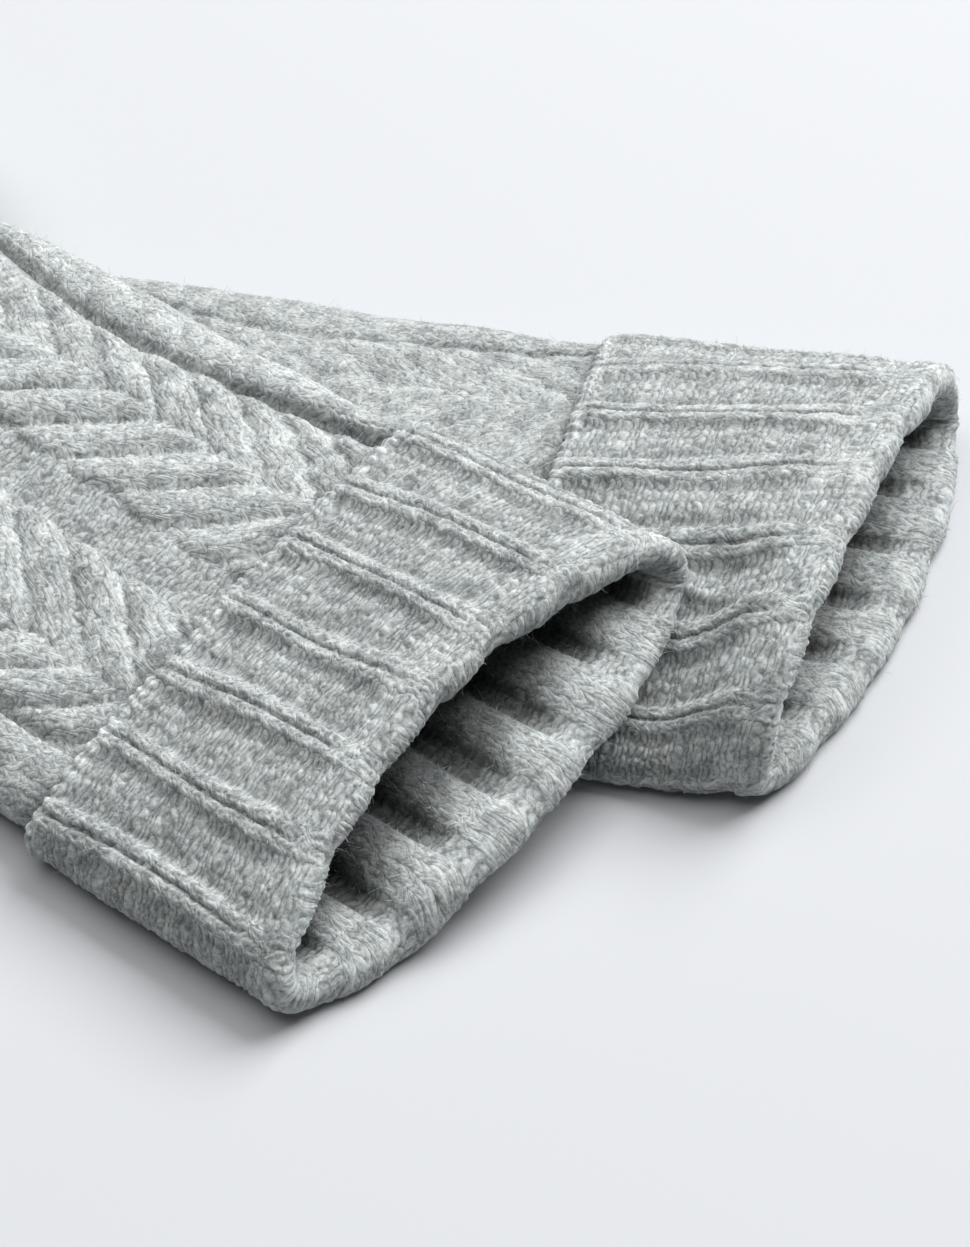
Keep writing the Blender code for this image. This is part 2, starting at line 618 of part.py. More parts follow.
def clear_scene():
    for old in list(bpy.data.objects):
        bpy.data.objects.remove(old, do_unlink=True)


def main():
    clear_scene()
    for side, form in (("right", RIGHT_FORM), ("left", LEFT_FORM)):
        make_cuff(side, form)
        make_hand(side, form)
        make_thumb(side, form)
        for finger in FINGERS:
            make_finger(side, form, finger)


main()
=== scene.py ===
"""The look of a pair of knitted gloves that lie one over the other, with their ribbed cuffs turned back.

Row frame, metres, +Z up. Each glove is drawn in its own coordinates: s runs from the mouth to the
fingertips, v across the hand (+v is the side away from the viewer) and w up from what the glove rests on.
Stitches are counted in wales, which run along the glove, and courses, which run round it.
"""

from __future__ import annotations

import logging
import math
from dataclasses import dataclass, field, replace
from enum import Enum
from typing import Any

import bpy
import numpy as np
from mathutils import Matrix, Vector


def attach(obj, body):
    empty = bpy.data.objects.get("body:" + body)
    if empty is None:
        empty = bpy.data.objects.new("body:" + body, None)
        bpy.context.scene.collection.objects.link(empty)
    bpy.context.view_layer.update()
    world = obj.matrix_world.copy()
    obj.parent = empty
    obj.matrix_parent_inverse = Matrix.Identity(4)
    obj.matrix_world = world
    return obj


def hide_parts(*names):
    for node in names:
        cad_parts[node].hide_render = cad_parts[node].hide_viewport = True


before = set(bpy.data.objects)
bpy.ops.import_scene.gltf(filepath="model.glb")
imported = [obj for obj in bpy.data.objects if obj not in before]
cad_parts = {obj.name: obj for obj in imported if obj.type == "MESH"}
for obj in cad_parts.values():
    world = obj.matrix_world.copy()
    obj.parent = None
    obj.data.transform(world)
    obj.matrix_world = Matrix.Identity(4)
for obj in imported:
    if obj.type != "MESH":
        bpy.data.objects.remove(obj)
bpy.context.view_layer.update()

log = logging.getLogger("gloves")

MM = 0.001
BODY = "root"

# Sizes shared with the solids
HALF_WIDTH = 43.4 * MM  # of a cuff
CUFF_DEPTH = 46.5 * MM  # from the fold at the mouth to the hem
HAND_END = 177.0 * MM  # where the fingers start
WALL = 1.5 * MM
HAND_WALL = 1.4 * MM
FINGER_WALL = 1.4 * MM
LAYER_GAP = 0.55 * MM  # between a cuff's two layers
TUCK = 4.5 * MM  # how far the hand starts under the hem
WALES = 84  # round a cuff
WALES_A_RIB = 6
RIB_RISE = 0.7 * MM
CABLE_REPEAT = 10.3 * MM
CABLE_MIDDLE = 17.5 * MM  # of a column of cables, from the middle of the back
GUTTER = 8.0 * MM  # the purl strip between the two columns
STRAND_RISE = 2.0 * MM
NEAR_CREASE = 31.0 * MM  # between cables and side roll, from the middle of the back
SETTLE = 3.2 * MM  # how far the upper glove sags along its near edge
LAY_GAP = 0.7 * MM  # kept between the two gloves
PRESS_ROUND = 7.0 * MM  # over what height the lower glove rounds into where it is pressed
RELEASE = 80.0  # how fast the lower glove rises beside the upper one, per metre
THUMB_REACH = 46.0 * MM
SIDE_HEIGHT = 6.0 * MM  # of a cuff's widest points
HAND_SIDE = 0.48  # the same for a hand, as a share of its height
CUFF_FULLNESS = 2.3
HAND_FULLNESS = 2.8
UNDERSIDE_FULLNESS = 4.0
FLAT_PRESS = 0.3 * MM  # how far the underside is pressed level
DRAPE_FLAT = 6.0 * MM
DRAPE_FALL_FROM = 8.0 * MM
DRAPE_FALL = 30.0 * MM
FINGER_HEIGHT = 9.0 * MM
FINGER_TIP = 13.0 * MM  # over what length a tip narrows
ROOT_GAP = 0.3 * MM
THUMB_SLIT = (142.5 * MM, 163.5 * MM)
THUMB_AT = sum(THUMB_SLIT) / 2
THUMB_LENGTH = 56.0 * MM
THUMB_HALF = 10.4 * MM
THUMB_HEIGHT = 9.0 * MM
THUMB_ROOT_RISE = 4.1 * MM
THUMB_ROOT_GAP = 1.9 * MM

# The knitting
WALE = 2.09 * MM  # width of one column of stitches
COURSE = 1.16 * MM  # height of one row of stitches
WALES_A_STRAND = 3
STRAND_STRETCH = 1.15  # a cable's courses are this much longer
LEG_SLOPE = 1.4  # courses that a stitch's leg climbs over half a wale
LOWERED = 0.6  # the stitch height that lies level with the cloth

Number = float | np.ndarray
Sizes = tuple[float, float]
Point = tuple[float, float, float]
Colour = tuple[float, ...]


class Side(Enum):
    """Which hand a glove is for."""

    LEFT = "left"
    RIGHT = "right"

    @property
    def sign(self) -> int:
        """Which side the thumb is on: 1 for the far one, -1 for the near one."""
        return 1 if self is Side.LEFT else -1


class Held(Enum):
    """What keeps a sheet of knitting in its shape."""

    FOLDED = "folded"
    LAID = "laid"


# Curves


def eased(t: Number) -> np.ndarray:
    """A smooth step from 0 at t = 0 to 1 at t = 1."""
    t = np.clip(t, 0.0, 1.0)
    return t * t * (3 - 2 * t)


def ramp(x: Number, start: float, width: float) -> np.ndarray:
    """A smooth step up from 0 where x is start to 1 where it is width further on."""
    return eased((x - start) / width)


def fade(x: Number, end: float, width: float) -> np.ndarray:
    """A smooth step down to 0 where x is end from 1 where it is width short of it."""
    return eased((end - x) / width)


def blend(a: Number, b: Number, share: Number) -> Number:
    """a where share is 0, b where it is 1, and a straight mix between."""
    return a * (1 - share) + b * share


def hump(t: Number, power: int = 2) -> np.ndarray:
    """A bell, 1 at t = 0 and a third at t = 1 or -1. A higher power has a flatter top."""
    return np.exp(-(t**power))


def half_round(t: Number, fullness: float = 2.0) -> np.ndarray:
    """Height of half a superellipse over t from -1 to 1, and 0 beyond. Fullness 2 makes it a circle."""
    return np.clip(1 - np.abs(t) ** fullness, 0, 1) ** (1 / fullness)


def ripple(along: Number, across: Number, seed: int) -> np.ndarray:
    """A slow unevenness between -1 and 1: three sine waves whose lengths and phases the seed sets."""
    rng = np.random.default_rng(seed)
    waves = rng.uniform((1 / 60, 1 / 45, 0), (1 / 22, 1 / 18, 1), (3, 3))
    signs = rng.choice((-1, 1), 3)
    total = 0.0
    for (down, over, phase), sign in zip(waves, signs):
        total = total + np.sin(2 * np.pi * (down * along / MM + sign * over * across / MM + phase))
    return total / 3


def run_length(points: np.ndarray) -> np.ndarray:
    """Distance run along a line of points, from its first."""
    return np.append(0, np.cumsum(np.linalg.norm(np.diff(points, axis=0), axis=-1)))


def unit(vectors: np.ndarray) -> np.ndarray:
    """Vectors brought to length 1."""
    return vectors / np.maximum(np.linalg.norm(vectors, axis=-1, keepdims=True), 1e-12)


@dataclass(frozen=True)
class Table:
    """A short table of places and values with a smooth curve through it, level beyond its ends."""

    places: tuple[float, ...]
    values: tuple[float, ...]

    def at(self, place: Number) -> np.ndarray:
        """The curve's value: a cubic between neighbouring rows that keeps the slope at each row.

        Args:
            place: where to read the curve, in metres.

        Returns:
            The values there, in metres.
        """
        places = np.asarray(self.places, float) * MM
        values = np.asarray(self.values, float) * MM
        slopes = np.gradient(values, places)
        at = np.clip(place, places[0], places[-1])
        i = np.clip(np.searchsorted(places, at, side="right") - 1, 0, len(places) - 2)
        step = places[i + 1] - places[i]
        t = (at - places[i]) / step
        return (
            (2 * t**3 - 3 * t**2 + 1) * values[i]
            + (t**3 - 2 * t**2 + t) * step * slopes[i]
            + (3 * t**2 - 2 * t**3) * values[i + 1]
            + (t**3 - t**2) * step * slopes[i + 1]
        )


FAR_CREASE = Table((46.5, 60, 76, 90, 106, 124, 150), (35.6, 33.8, 31, 29.8, 30.6, 34, 31.5))
DRAPE_PLACES = (-10, 20, 46.5, 65, 80, 100, 125, 156, 185, 215, 255)
DRAPE_NEAR = Table(DRAPE_PLACES, (0, 0, 0, 1, 4, 8.2, 10.2, 10.6, 10.4, 9.8, 8))
DRAPE_FAR = Table(DRAPE_PLACES, (16.6, 15.9, 15.2, 14.8, 14.6, 14.2, 13.7, 11.4, 8.6, 5, 1.5))
HAND_HALF = Table((42, 62, 115, 177), (40.2, 40.8, 41.2, 41.6))


@dataclass(frozen=True)
class Section:
    """A closed cross-section, or many: half a superellipse over a squarer half that is pressed level."""

    half: Number  # half the width
    low: Number
    high: Number
    side: Number  # height of the widest points
    fullness: Number  # of the upper half

    def upper(self, v: Number) -> np.ndarray:
        """Height of the upper surface at v."""
        return self.side + (self.high - self.side) * half_round(v / self.half, self.fullness)

    def lower(self, v: Number) -> np.ndarray:
        """Height of the underside at v."""
        depth = (self.side - self.low + FLAT_PRESS) * half_round(v / self.half, UNDERSIDE_FULLNESS)
        return np.maximum(self.side - depth, self.low)

    def face(self, v: np.ndarray, above: np.ndarray) -> np.ndarray:
        """Height of the upper surface where above is set, and of the underside elsewhere."""
        return np.where(above, self.upper(v), self.lower(v))

    def inside(self, depth: float) -> Section:
        """The section set in by depth all round."""
        return replace(self, half=self.half - depth, low=self.low + depth, high=self.high - depth)

    def ring(self, at: np.ndarray) -> np.ndarray:
        """Points at shares of the section's length.

        Args:
            at: shares from 0 to 1, from the top centre towards +v.

        Returns:
            (len(at), 2) points (v, w).
        """
        v = self.half * np.sin(np.linspace(0, np.pi / 2, 241))
        down = np.stack([v, self.lower(v)], 1)[::-1]
        right = np.concatenate([np.stack([v, self.upper(v)], 1), down[1:]])
        ring = np.concatenate([right, (right * [-1, 1])[::-1][1:]])
        run = run_length(ring)
        want = np.mod(at, 1.0) * run[-1]
        return np.stack([np.interp(want, run, ring[:, 0]), np.interp(want, run, ring[:, 1])], 1)


# How the gloves lie


def hem_blend(s: Number) -> np.ndarray:
    """0 under the cuff and 1 where the hand has its own section."""
    return ramp(s, CUFF_DEPTH, 12 * MM)


@dataclass(frozen=True)
class Form:
    """Where one glove lies, its heights and the shape of its mouth."""

    side: Side
    hem: Sizes  # the hem's middle in the row frame
    turn: float  # of the glove about Z
    hem_height: float
    mouth_height: float
    top_set_back: float  # of the mouth's upper lip, at its middle
    bottom_reach: float  # of the lower lip, at its middle
    skew: float  # how far the mouth's far corner is ahead of its middle
    hand_heights: Table
    thumb_splay: float  # degrees
    rib_shift: float  # of the ribs round the cuff

    def cuff_height(self, s: Number) -> np.ndarray:
        """Height of the cuff at s, which opens evenly from the hem to the mouth."""
        return blend(self.mouth_height, self.hem_height, np.clip(s / CUFF_DEPTH, 0, 1))

    def full_height(self, s: Number) -> np.ndarray:
        """Greatest height of the glove at s, with its relief."""
        hand = self.hand_heights.at(s) + STRAND_RISE * fade(s, HAND_END, 8 * MM)
        hand = hand + (FINGER_HEIGHT - self.hand_heights.at(HAND_END)) * ramp(s, HAND_END, 4 * MM)
        return blend(self.cuff_height(s) + RIB_RISE, hand, hem_blend(s))

    def cuff_section(self, s: Number) -> Section:
        """The cuff's section at s."""
        return Section(HALF_WIDTH, 0.0, self.cuff_height(s), SIDE_HEIGHT, CUFF_FULLNESS)

    def hand_section(self, s: Number) -> Section:
        """The hand's section at s. Under the hem it fits inside the cuff."""
        own = hem_blend(s)
        high = self.hand_heights.at(s)
        inset = WALL + LAYER_GAP
        return Section(
            blend(HALF_WIDTH - inset, HAND_HALF.at(s), own),
            blend(inset, 0.0, own),
            blend(self.cuff_height(s) - inset, high, own),
            blend(SIDE_HEIGHT, high * HAND_SIDE, own),
            blend(CUFF_FULLNESS, HAND_FULLNESS, own),
        )

    def place(self, s: Number, v: Number) -> tuple[np.ndarray, np.ndarray]:
        """Row-frame x and y: the hem's middle, plus the way along the turned glove, plus the way across."""
        ahead = CUFF_DEPTH - s
        x = self.hem[0] + ahead * math.cos(self.turn) - v * math.sin(self.turn)
        y = self.hem[1] + ahead * math.sin(self.turn) + v * math.cos(self.turn)
        return x, y

    def own_coordinates(self, x: Number, y: Number) -> tuple[np.ndarray, np.ndarray]:
        """This glove's s and v at a place in the row frame."""
        dx, dy = x - self.hem[0], y - self.hem[1]
        ahead = dx * math.cos(self.turn) + dy * math.sin(self.turn)
        return CUFF_DEPTH - ahead, dy * math.cos(self.turn) - dx * math.sin(self.turn)

    def to_row(self, s: Number, v: Number, w: Number) -> np.ndarray:
        """Row-frame points of the glove.

        The right glove is flattened where the left one lies on it: its height shrinks in the share that
        is left of it under the left glove. The left glove is lifted by its ground.

        Args:
            s: distance from the mouth.
            v: distance across the hand.
            w: height over what the glove rests on.

        Returns:
            Points, with x, y and z in the last axis.
        """
        x, y = self.place(s, v)
        if self.side is Side.RIGHT:
            own = self.full_height(s)
            room = room_under_left(x, y)
            overlap = np.maximum(PRESS_ROUND - np.abs(own - room), 0) / PRESS_ROUND
            kept = np.minimum(own, room) - overlap * overlap * PRESS_ROUND / 4
            return np.stack([x, y, w * kept / own], -1)
        ground = blend(settled_ground(s, v), left_ground(s, v), np.clip(w / SIDE_HEIGHT, 0, 1))
        return np.stack([x, y, w + ground], -1)

    def kept_in_place(self, points: np.ndarray) -> np.ndarray:
        """Points with their heights kept off the floor and out of the other glove."""
        x, y, z = points[..., 0], points[..., 1], points[..., 2]
        if self.side is Side.RIGHT:
            room = room_under_left(x, y)
            soft = 0.25 * MM
            pressed = room - soft * np.logaddexp(0, np.clip((room - z) / soft, -30, 30))
            z = np.where(room - z > 20 * soft, z, pressed)
            return np.stack([x, y, np.maximum(z, 0.0)], -1)
        return np.stack([x, y, np.maximum(z, settled_ground(*self.own_coordinates(x, y)))], -1)


RIGHT = Form(
    side=Side.RIGHT,
    hem=(0.0843, 0.0015),
    turn=0.0,
    hem_height=16.6 * MM,
    mouth_height=25.8 * MM,
    top_set_back=0.5 * MM,
    bottom_reach=6.8 * MM,
    skew=7.7 * MM,
    hand_heights=Table((42, 62, 110, 177), (11.3, 12.5, 12, 10.4)),
    thumb_splay=16.0,
    rib_shift=1.94 * MM,
)
LEFT = Form(
    side=Side.LEFT,
    hem=(0.0460, -0.0365),
    turn=math.radians(-24.8),
    hem_height=12.6 * MM,
    mouth_height=16.6 * MM,
    top_set_back=9.6 * MM,
    bottom_reach=7.3 * MM,
    skew=1.3 * MM,
    hand_heights=Table((42, 62, 110, 177), (8.6, 10.4, 11.2, 10.4)),
    thumb_splay=24.0,
    rib_shift=-0.86 * MM,
)


def left_ground(s: Number, v: Number) -> np.ndarray:
    """Height of what the left glove lies on: a level strip, a slope, and a fall past its far edge."""
    across = np.clip((v + HALF_WIDTH - DRAPE_FLAT) / (2 * HALF_WIDTH - DRAPE_FLAT), 0, 1)
    beyond = ramp(v, HALF_WIDTH + DRAPE_FALL_FROM, DRAPE_FALL)
    return np.maximum(blend(DRAPE_NEAR.at(s), DRAPE_FAR.at(s), across), 0.0) * (1 - beyond)


def settled_ground(s: Number, v: Number) -> np.ndarray:
    """The left glove's lowest surface: its ground, sagged to the floor along the near edge of the cuff."""
    sag = SETTLE * ramp(-v, 14 * MM, 12 * MM) * fade(s, 95 * MM, 20 * MM)
    return np.maximum(left_ground(s, v) - sag, 0.0)


def room_under_left(x: Number, y: Number) -> np.ndarray:
    """The greatest height that the right glove may have.

    Under the left glove it is that glove's ground with part of its rounded underside. Beside it and ahead
    of its mouth the room grows with the square of the distance.

    Args:
        x: place in the row frame.
        y: place in the row frame.

    Returns:
        The height in metres.
    """
    s, v = LEFT.own_coordinates(x, y)
    thumb = THUMB_REACH * ramp(s, THUMB_SLIT[0] - 8 * MM, 12 * MM) * fade(s, 232 * MM, 12 * MM)
    edge = HALF_WIDTH + 1.3 * MM
    beside = np.maximum(np.maximum(v - edge - thumb, -v - edge), 0)
    lip = LEFT.bottom_reach * np.clip(1 - (v / HALF_WIDTH) ** 2, 0, 1) + LEFT.skew * v / HALF_WIDTH
    ahead = np.maximum(-s - lip - 1.8 * MM, 0)
    rounded = 0.4 * LEFT.cuff_section(s).lower(np.minimum(np.abs(v), HALF_WIDTH))
    rounded = rounded * fade(s, THUMB_SLIT[0] - 4 * MM, 20 * MM)
    return left_ground(s, v) + rounded - LAY_GAP + RELEASE * (beside**2 + ahead**2)


def crease_at(s: Number, v: Number) -> np.ndarray:
    """Distance from the hand's middle to the crease on the side that v is on."""
    return np.where(v > 0, FAR_CREASE.at(s), NEAR_CREASE)


# Shader maths


class Socket:
    """A node's output, on which Python's operators and numpy's functions add Math nodes."""

    FUNCTIONS = {
        np.sin: "SINE",
        np.sqrt: "SQRT",
        np.absolute: "ABSOLUTE",
        np.maximum: "MAXIMUM",
        np.floor: "FLOOR",
    }

    def __init__(self, nodes: Nodes, source: bpy.types.NodeSocket) -> None:
        """Wraps one output of a node tree."""
        self.nodes = nodes
        self.source = source

    def maths(self, operation: str, *values: Any) -> Socket:
        """A Math node of that operation on the values."""
        return self.nodes.add("ShaderNodeMath", {"operation": operation}, values)

    def __array_ufunc__(self, function: np.ufunc, method: str, *values: Any) -> Socket:
        """A numpy function of sockets, as a Math node. So one formula serves both shape and look."""
        return self.maths(self.FUNCTIONS[function], *values)

    def __add__(self, other: Any) -> Socket:
        """Sum."""
        return self.maths("ADD", self, other)

    def __sub__(self, other: Any) -> Socket:
        """Difference."""
        return self.maths("SUBTRACT", self, other)

    def __rsub__(self, other: Any) -> Socket:
        """Difference, with this value second."""
        return self.maths("SUBTRACT", other, self)

    def __mul__(self, other: Any) -> Socket:
        """Product."""
        return self.maths("MULTIPLY", self, other)

    __radd__ = __add__
    __rmul__ = __mul__


class Nodes:
    """A new material and its node tree."""

    MIX_SOCKETS = {"FLOAT": (2, 3, 0), "VECTOR": (4, 5, 1), "RGBA": (6, 7, 2)}  # first, second, output

    def __init__(self, name: str) -> None:
        """Makes the material, which starts with a Principled shader."""
        self.material = bpy.data.materials.new(name)
        self.material.use_nodes = True
        self.tree = self.material.node_tree
        self.shader = self.tree.nodes["Principled BSDF"]

    def add(self, kind: str, settings: dict[str, Any], inputs: Any = (), output: int | str = 0) -> Socket:
        """One node of any type.

        Args:
            kind: Blender's name for the node type.
            settings: its properties, which are set before its sockets.
            inputs: values or sockets, as a list in order or a dictionary by name or number.
            output: which output is wanted.

        Returns:
            The wanted output, wrapped.
        """
        node = self.tree.nodes.new(kind)
        for name, value in settings.items():
            setattr(node, name, value)
        for key, value in inputs.items() if isinstance(inputs, dict) else enumerate(inputs):
            self._join(node.inputs[key], value)
        return Socket(self, node.outputs[output])

    def _join(self, target: bpy.types.NodeSocket, value: Any) -> None:
        """Links a socket to a node's input, or sets a constant on it."""
        if isinstance(value, Socket):
            self.tree.links.new(value.source, target)
        else:
            target.default_value = value

    def noise(self, place: Socket, scale: float, detail: float, distortion: float = 0.0) -> Socket:
        """Noise with its middle at 0.5."""
        sizes = {"Vector": place, "Scale": scale, "Detail": detail, "Distortion": distortion}
        return self.add("ShaderNodeTexNoise", {}, sizes)

    def spread(
        self, value: Socket, low: float, high: float, start: float = 0.0, way: str = "LINEAR"
    ) -> Socket:
        """The value's range from low to high, spread from start to 1."""
        return self.add("ShaderNodeMapRange", {"interpolation_type": way}, [value, low, high, start, 1.0])

    def mix(self, kind: str, share: Any, first: Any, second: Any, **settings: str) -> Socket:
        """first where share is 0 and second where it is 1, as floats, vectors or colours."""
        a, b, output = self.MIX_SOCKETS[kind]
        inputs = {0: share, a: first, b: second}
        return self.add("ShaderNodeMix", {"data_type": kind, **settings}, inputs, output)

    def shaded(self, values: dict[str, Any]) -> bpy.types.Material:
        """The material, with sockets or constants on the shader's own sockets of those names."""
        for name, value in values.items():
            self._join(self.shader.inputs[name], value)
        return self.material


def fract(x: Any) -> Any:
    """What is left of x above the whole number below it."""
    return x.maths("FRACT", x) if isinstance(x, Socket) else x - np.floor(x)


def knit_relief(u: Any, c: Any) -> Any:
    """Height of a knit stitch, 0 to 1: two rounded legs that slope up and out from the wale's middle.

    Each leg's ridge is a half sine over one course, moved up by LEG_SLOPE from the middle of the wale
    to its edge. Across the wale each leg is half an ellipse, and the two meet in a shallow dip.

    Args:
        u: place in wales, as an array or a socket.
        c: place in courses.

    Returns:
        The height.
    """
    out = np.absolute(fract(u) * 2.0 - 1.0)
    leg = np.sin(fract(c - out * LEG_SLOPE) * math.pi)
    from_ridge = out * 2.0 - 1.0
    across = np.sqrt(np.maximum(1.0 - from_ridge * from_ridge, 0.0))
    return np.maximum(across, (1.0 - out) * 0.62) * (leg * 0.6 + 0.4)


def purl_relief(u: Any, c: Any) -> Any:
    """Height of purl stitches, 0 to 1: short bowed ridges across the wale, laid like bricks.

    The heads of the loops bow one way over the wale's middle, and half a course on and half a wale
    aside the feet bow the other way. Each is half a sine high along the glove and half an ellipse across.

    Args:
        u: place in wales, as an array or a socket.
        c: place in courses.

    Returns:
        The height.
    """

    def ridges(across: Any, along: Any, bow: float) -> Any:
        """One family of ridges."""
        x = fract(across) * 2.0 - 1.0
        height = np.sin(fract(along + x * x * bow) * math.pi)
        return height * np.sqrt(np.maximum(1.0 - x * x * 0.75, 0.0))

    return np.maximum(ridges(u, c, 0.3), ridges(u + 0.5, c + 0.5, -0.3) * 0.4)


@dataclass(frozen=True)
class MarledWool:
    """Soft marled wool: a grey yarn spun of light and dark fibres, with hairs standing off it."""

    name: str = "marled_wool"
    dark: Colour = (0.19, 0.206, 0.204, 1.0)
    light: Colour = (0.548, 0.588, 0.582, 1.0)
    warm: Colour = (0.564, 0.59, 0.566, 1.0)
    streak_share: float = 0.6
    fleck_share: float = 0.74
    cloud_share: float = 0.5
    stitch_share: float = 0.18
    hair_share: float = 0.7
    tone_cut: float = 0.93  # taken off the sum of the shares
    # painted shade: the share of the colour kept in the deepest gaps between stitches
    gap_shade: float = 0.45
    bump: float = 0.38
    bump_distance: float = 0.3 * MM

    def material(self) -> bpy.types.Material:
        """Builds the material, which reads the piece's own stitch count and its fabric.

        The tone is noise stretched along the yarn, flecks, hairs, slower clouds and a tone of its own for
        each stitch. Painted shade darkens the gaps between the stitches, from the relief that shapes the
        surface, and the piece's painted shade attribute darkens it further.

        Returns:
            The material.
        """
        nodes = Nodes(self.name)
        count = nodes.add("ShaderNodeUVMap", {"uv_map": "stitches"})
        u, c = (nodes.add("ShaderNodeSeparateXYZ", {}, [count], axis) for axis in (0, 1))
        purl, shade = (
            nodes.add("ShaderNodeAttribute", {"attribute_name": name}, (), "Fac")
            for name in ("purl", "shade")
        )
        place = nodes.add("ShaderNodeTexCoord", {}, (), "Object")
        relief = nodes.mix("FLOAT", purl, knit_relief(u, c), purl_relief(u, c))

        leg = c - np.absolute(fract(u) * 2.0 - 1.0) * LEG_SLOPE
        along_leg = nodes.add("ShaderNodeCombineXYZ", {}, [u * 2.6, leg * 2.4, 0.0])
        along_purl = nodes.add("ShaderNodeCombineXYZ", {}, [u * 1.8, c * 2.6, 7.0])
        streaks = nodes.noise(nodes.mix("VECTOR", purl, along_leg, along_purl), 1.0, 3.0, 0.8)
        hairs = nodes.noise(place, 2000.0, 2.0, 0.6)
        flecks = nodes.noise(place, 600.0, 2.0, 1.0)
        clouds = nodes.noise(place, 200.0, 2.0)
        cell = nodes.add("ShaderNodeCombineXYZ", {}, [np.floor(u), np.floor(leg), purl])
        own = nodes.add("ShaderNodeTexWhiteNoise", {"noise_dimensions": "3D"}, [cell], "Value")

        tone = streaks * self.streak_share + flecks * self.fleck_share + clouds * self.cloud_share
        tone = tone + own * self.stitch_share + hairs * self.hair_share - self.tone_cut
        tone = nodes.spread(tone, 0.08, 0.80, way="SMOOTHSTEP")
        hue = nodes.spread(nodes.noise(place, 260.0, 1.0), 0.35, 0.65)
        grey = nodes.mix("RGBA", tone, self.dark, nodes.mix("RGBA", hue, self.light, self.warm))
        # Painted shade: darker in the gaps between stitches, and by the piece's painted shade attribute
        lit = nodes.spread(relief, 0.0, 0.65, self.gap_shade, "SMOOTHSTEP") * shade
        height = relief * 0.7 + streaks * 0.25 + hairs * 0.35
        bump = {"Strength": self.bump, "Distance": self.bump_distance, "Height": height}
        return nodes.shaded({
            "Base Color": nodes.mix("RGBA", 1.0, grey, lit, blend_type="MULTIPLY"),
            "Roughness": 0.93,
            "Specular IOR Level": 0.25,
            "Sheen Weight": 0.25,
            "Sheen Roughness": 0.55,
            "Sheen Tint": (0.93, 0.96, 0.97, 1.0),
            "Normal": nodes.add("ShaderNodeBump", {}, bump),
        })


@dataclass(frozen=True)
class LooseFibre:
    """The pale hairs that stand off the yarn."""

    name: str = "loose_fibre"
    dark: Colour = (0.30, 0.32, 0.318, 1.0)
    light: Colour = (0.62, 0.645, 0.64, 1.0)

    def material(self) -> bpy.types.Material:
        """Builds the material: each hair is one tone, lighter or darker than the next."""
        nodes = Nodes(self.name)
        place = nodes.add("ShaderNodeTexCoord", {}, (), "Object")
        tone = nodes.spread(nodes.noise(place, 700.0, 1.0), 0.35, 0.65)
        colour = nodes.mix("RGBA", tone, self.dark, self.light)
        return nodes.shaded({"Base Color": colour, "Roughness": 0.8, "Specular IOR Level": 0.3})


# Surfaces


def quad_corners(values: np.ndarray) -> np.ndarray:
    """A grid's values at the four corners of each quad, in a new third axis."""
    here, after = values[:-1], values[1:]
    return np.stack([here[:, :-1], here[:, 1:], after[:, 1:], after[:, :-1]], 2)


def closed_counts(wales: np.ndarray, courses: np.ndarray) -> np.ndarray:
    """The stitch count at quads' corners, for rows that close. A last column closes the count."""
    counts = np.stack([wales, courses], -1)
    return quad_corners(np.concatenate([counts, counts[:1]]))


@dataclass(frozen=True)
class Knitting:
    """A surface of knitting on a grid that closes round its rows and round its columns."""

    points: np.ndarray  # (rows, columns, 3)
    stitches: np.ndarray  # (rows, columns, 4, 2), wale and course at each quad's corners
    purl: np.ndarray  # (rows, columns), 1 where a quad shows purl and 0 where it shows knit
    shade: np.ndarray  # (rows, columns), painted shade: what is left of the light at each point

    def normals(self) -> np.ndarray:
        """Unit normals at the grid's points, from the differences of its neighbours."""
        along, around = (np.roll(self.points, -1, axis) - np.roll(self.points, 1, axis) for axis in (0, 1))
        return unit(np.cross(around, along))

    def raised(self, height: np.ndarray, form: Form) -> Knitting:
        """The same knitting, moved along its normals by height and kept in the glove's place."""
        points = self.points + self.normals() * height[..., None]
        return replace(self, points=form.kept_in_place(points))

    def build(self, name: str, wool: bpy.types.Material) -> bpy.types.Object:
        """Makes the piece, with its stitch count, its fabric and its painted shade.

        Args:
            name: the piece's name.
            wool: its material.

        Returns:
            The object.
        """
        rows, columns = self.points.shape[:2]
        i, j = np.arange(rows)[:, None], np.arange(columns)[None]
        k, after = (j + 1) % columns, (i + 1) % rows
        quads = [i * columns + j, i * columns + k, after * columns + k, after * columns + j]
        faces = np.stack(np.broadcast_arrays(*quads), -1).reshape(-1, 4)
        mesh = build_mesh(name, self.points.reshape(-1, 3), faces)
        mesh.uv_layers.new(name="stitches").data.foreach_set("uv", self.stitches.astype(np.float32).ravel())
        for attribute, domain, values in (("purl", "FACE", self.purl), ("shade", "POINT", self.shade)):
            layer = mesh.attributes.new(attribute, "FLOAT", domain)
            layer.data.foreach_set("value", values.astype(np.float32).ravel())
        return place_piece(name, mesh, wool)


def jostled(u: np.ndarray, c: np.ndarray, seed: int) -> tuple[np.ndarray, np.ndarray]:
    """The stitch count moved by up to a third of a stitch, so that no two stitches are alike.

    Each count is moved by a sum of sine waves two to six stitches long, in directions that the seed sets.

    Args:
        u: place in wales.
        c: place in courses.
        seed: sets the waves.

    Returns:
        The moved wales and courses.
    """
    rng = np.random.default_rng(seed)
    moved = []
    for reach in (0.13, 0.26):
        total = 0.0
        for length, way, phase in rng.uniform((1.9, 0, 0), (5.5, np.pi, 2 * np.pi), (6, 3)):
            total = total + np.sin(2 * np.pi * (u * np.cos(way) + c * np.sin(way)) / length + phase)
        moved.append(reach * total / 1.7)
    return u + moved[0], c + moved[1]


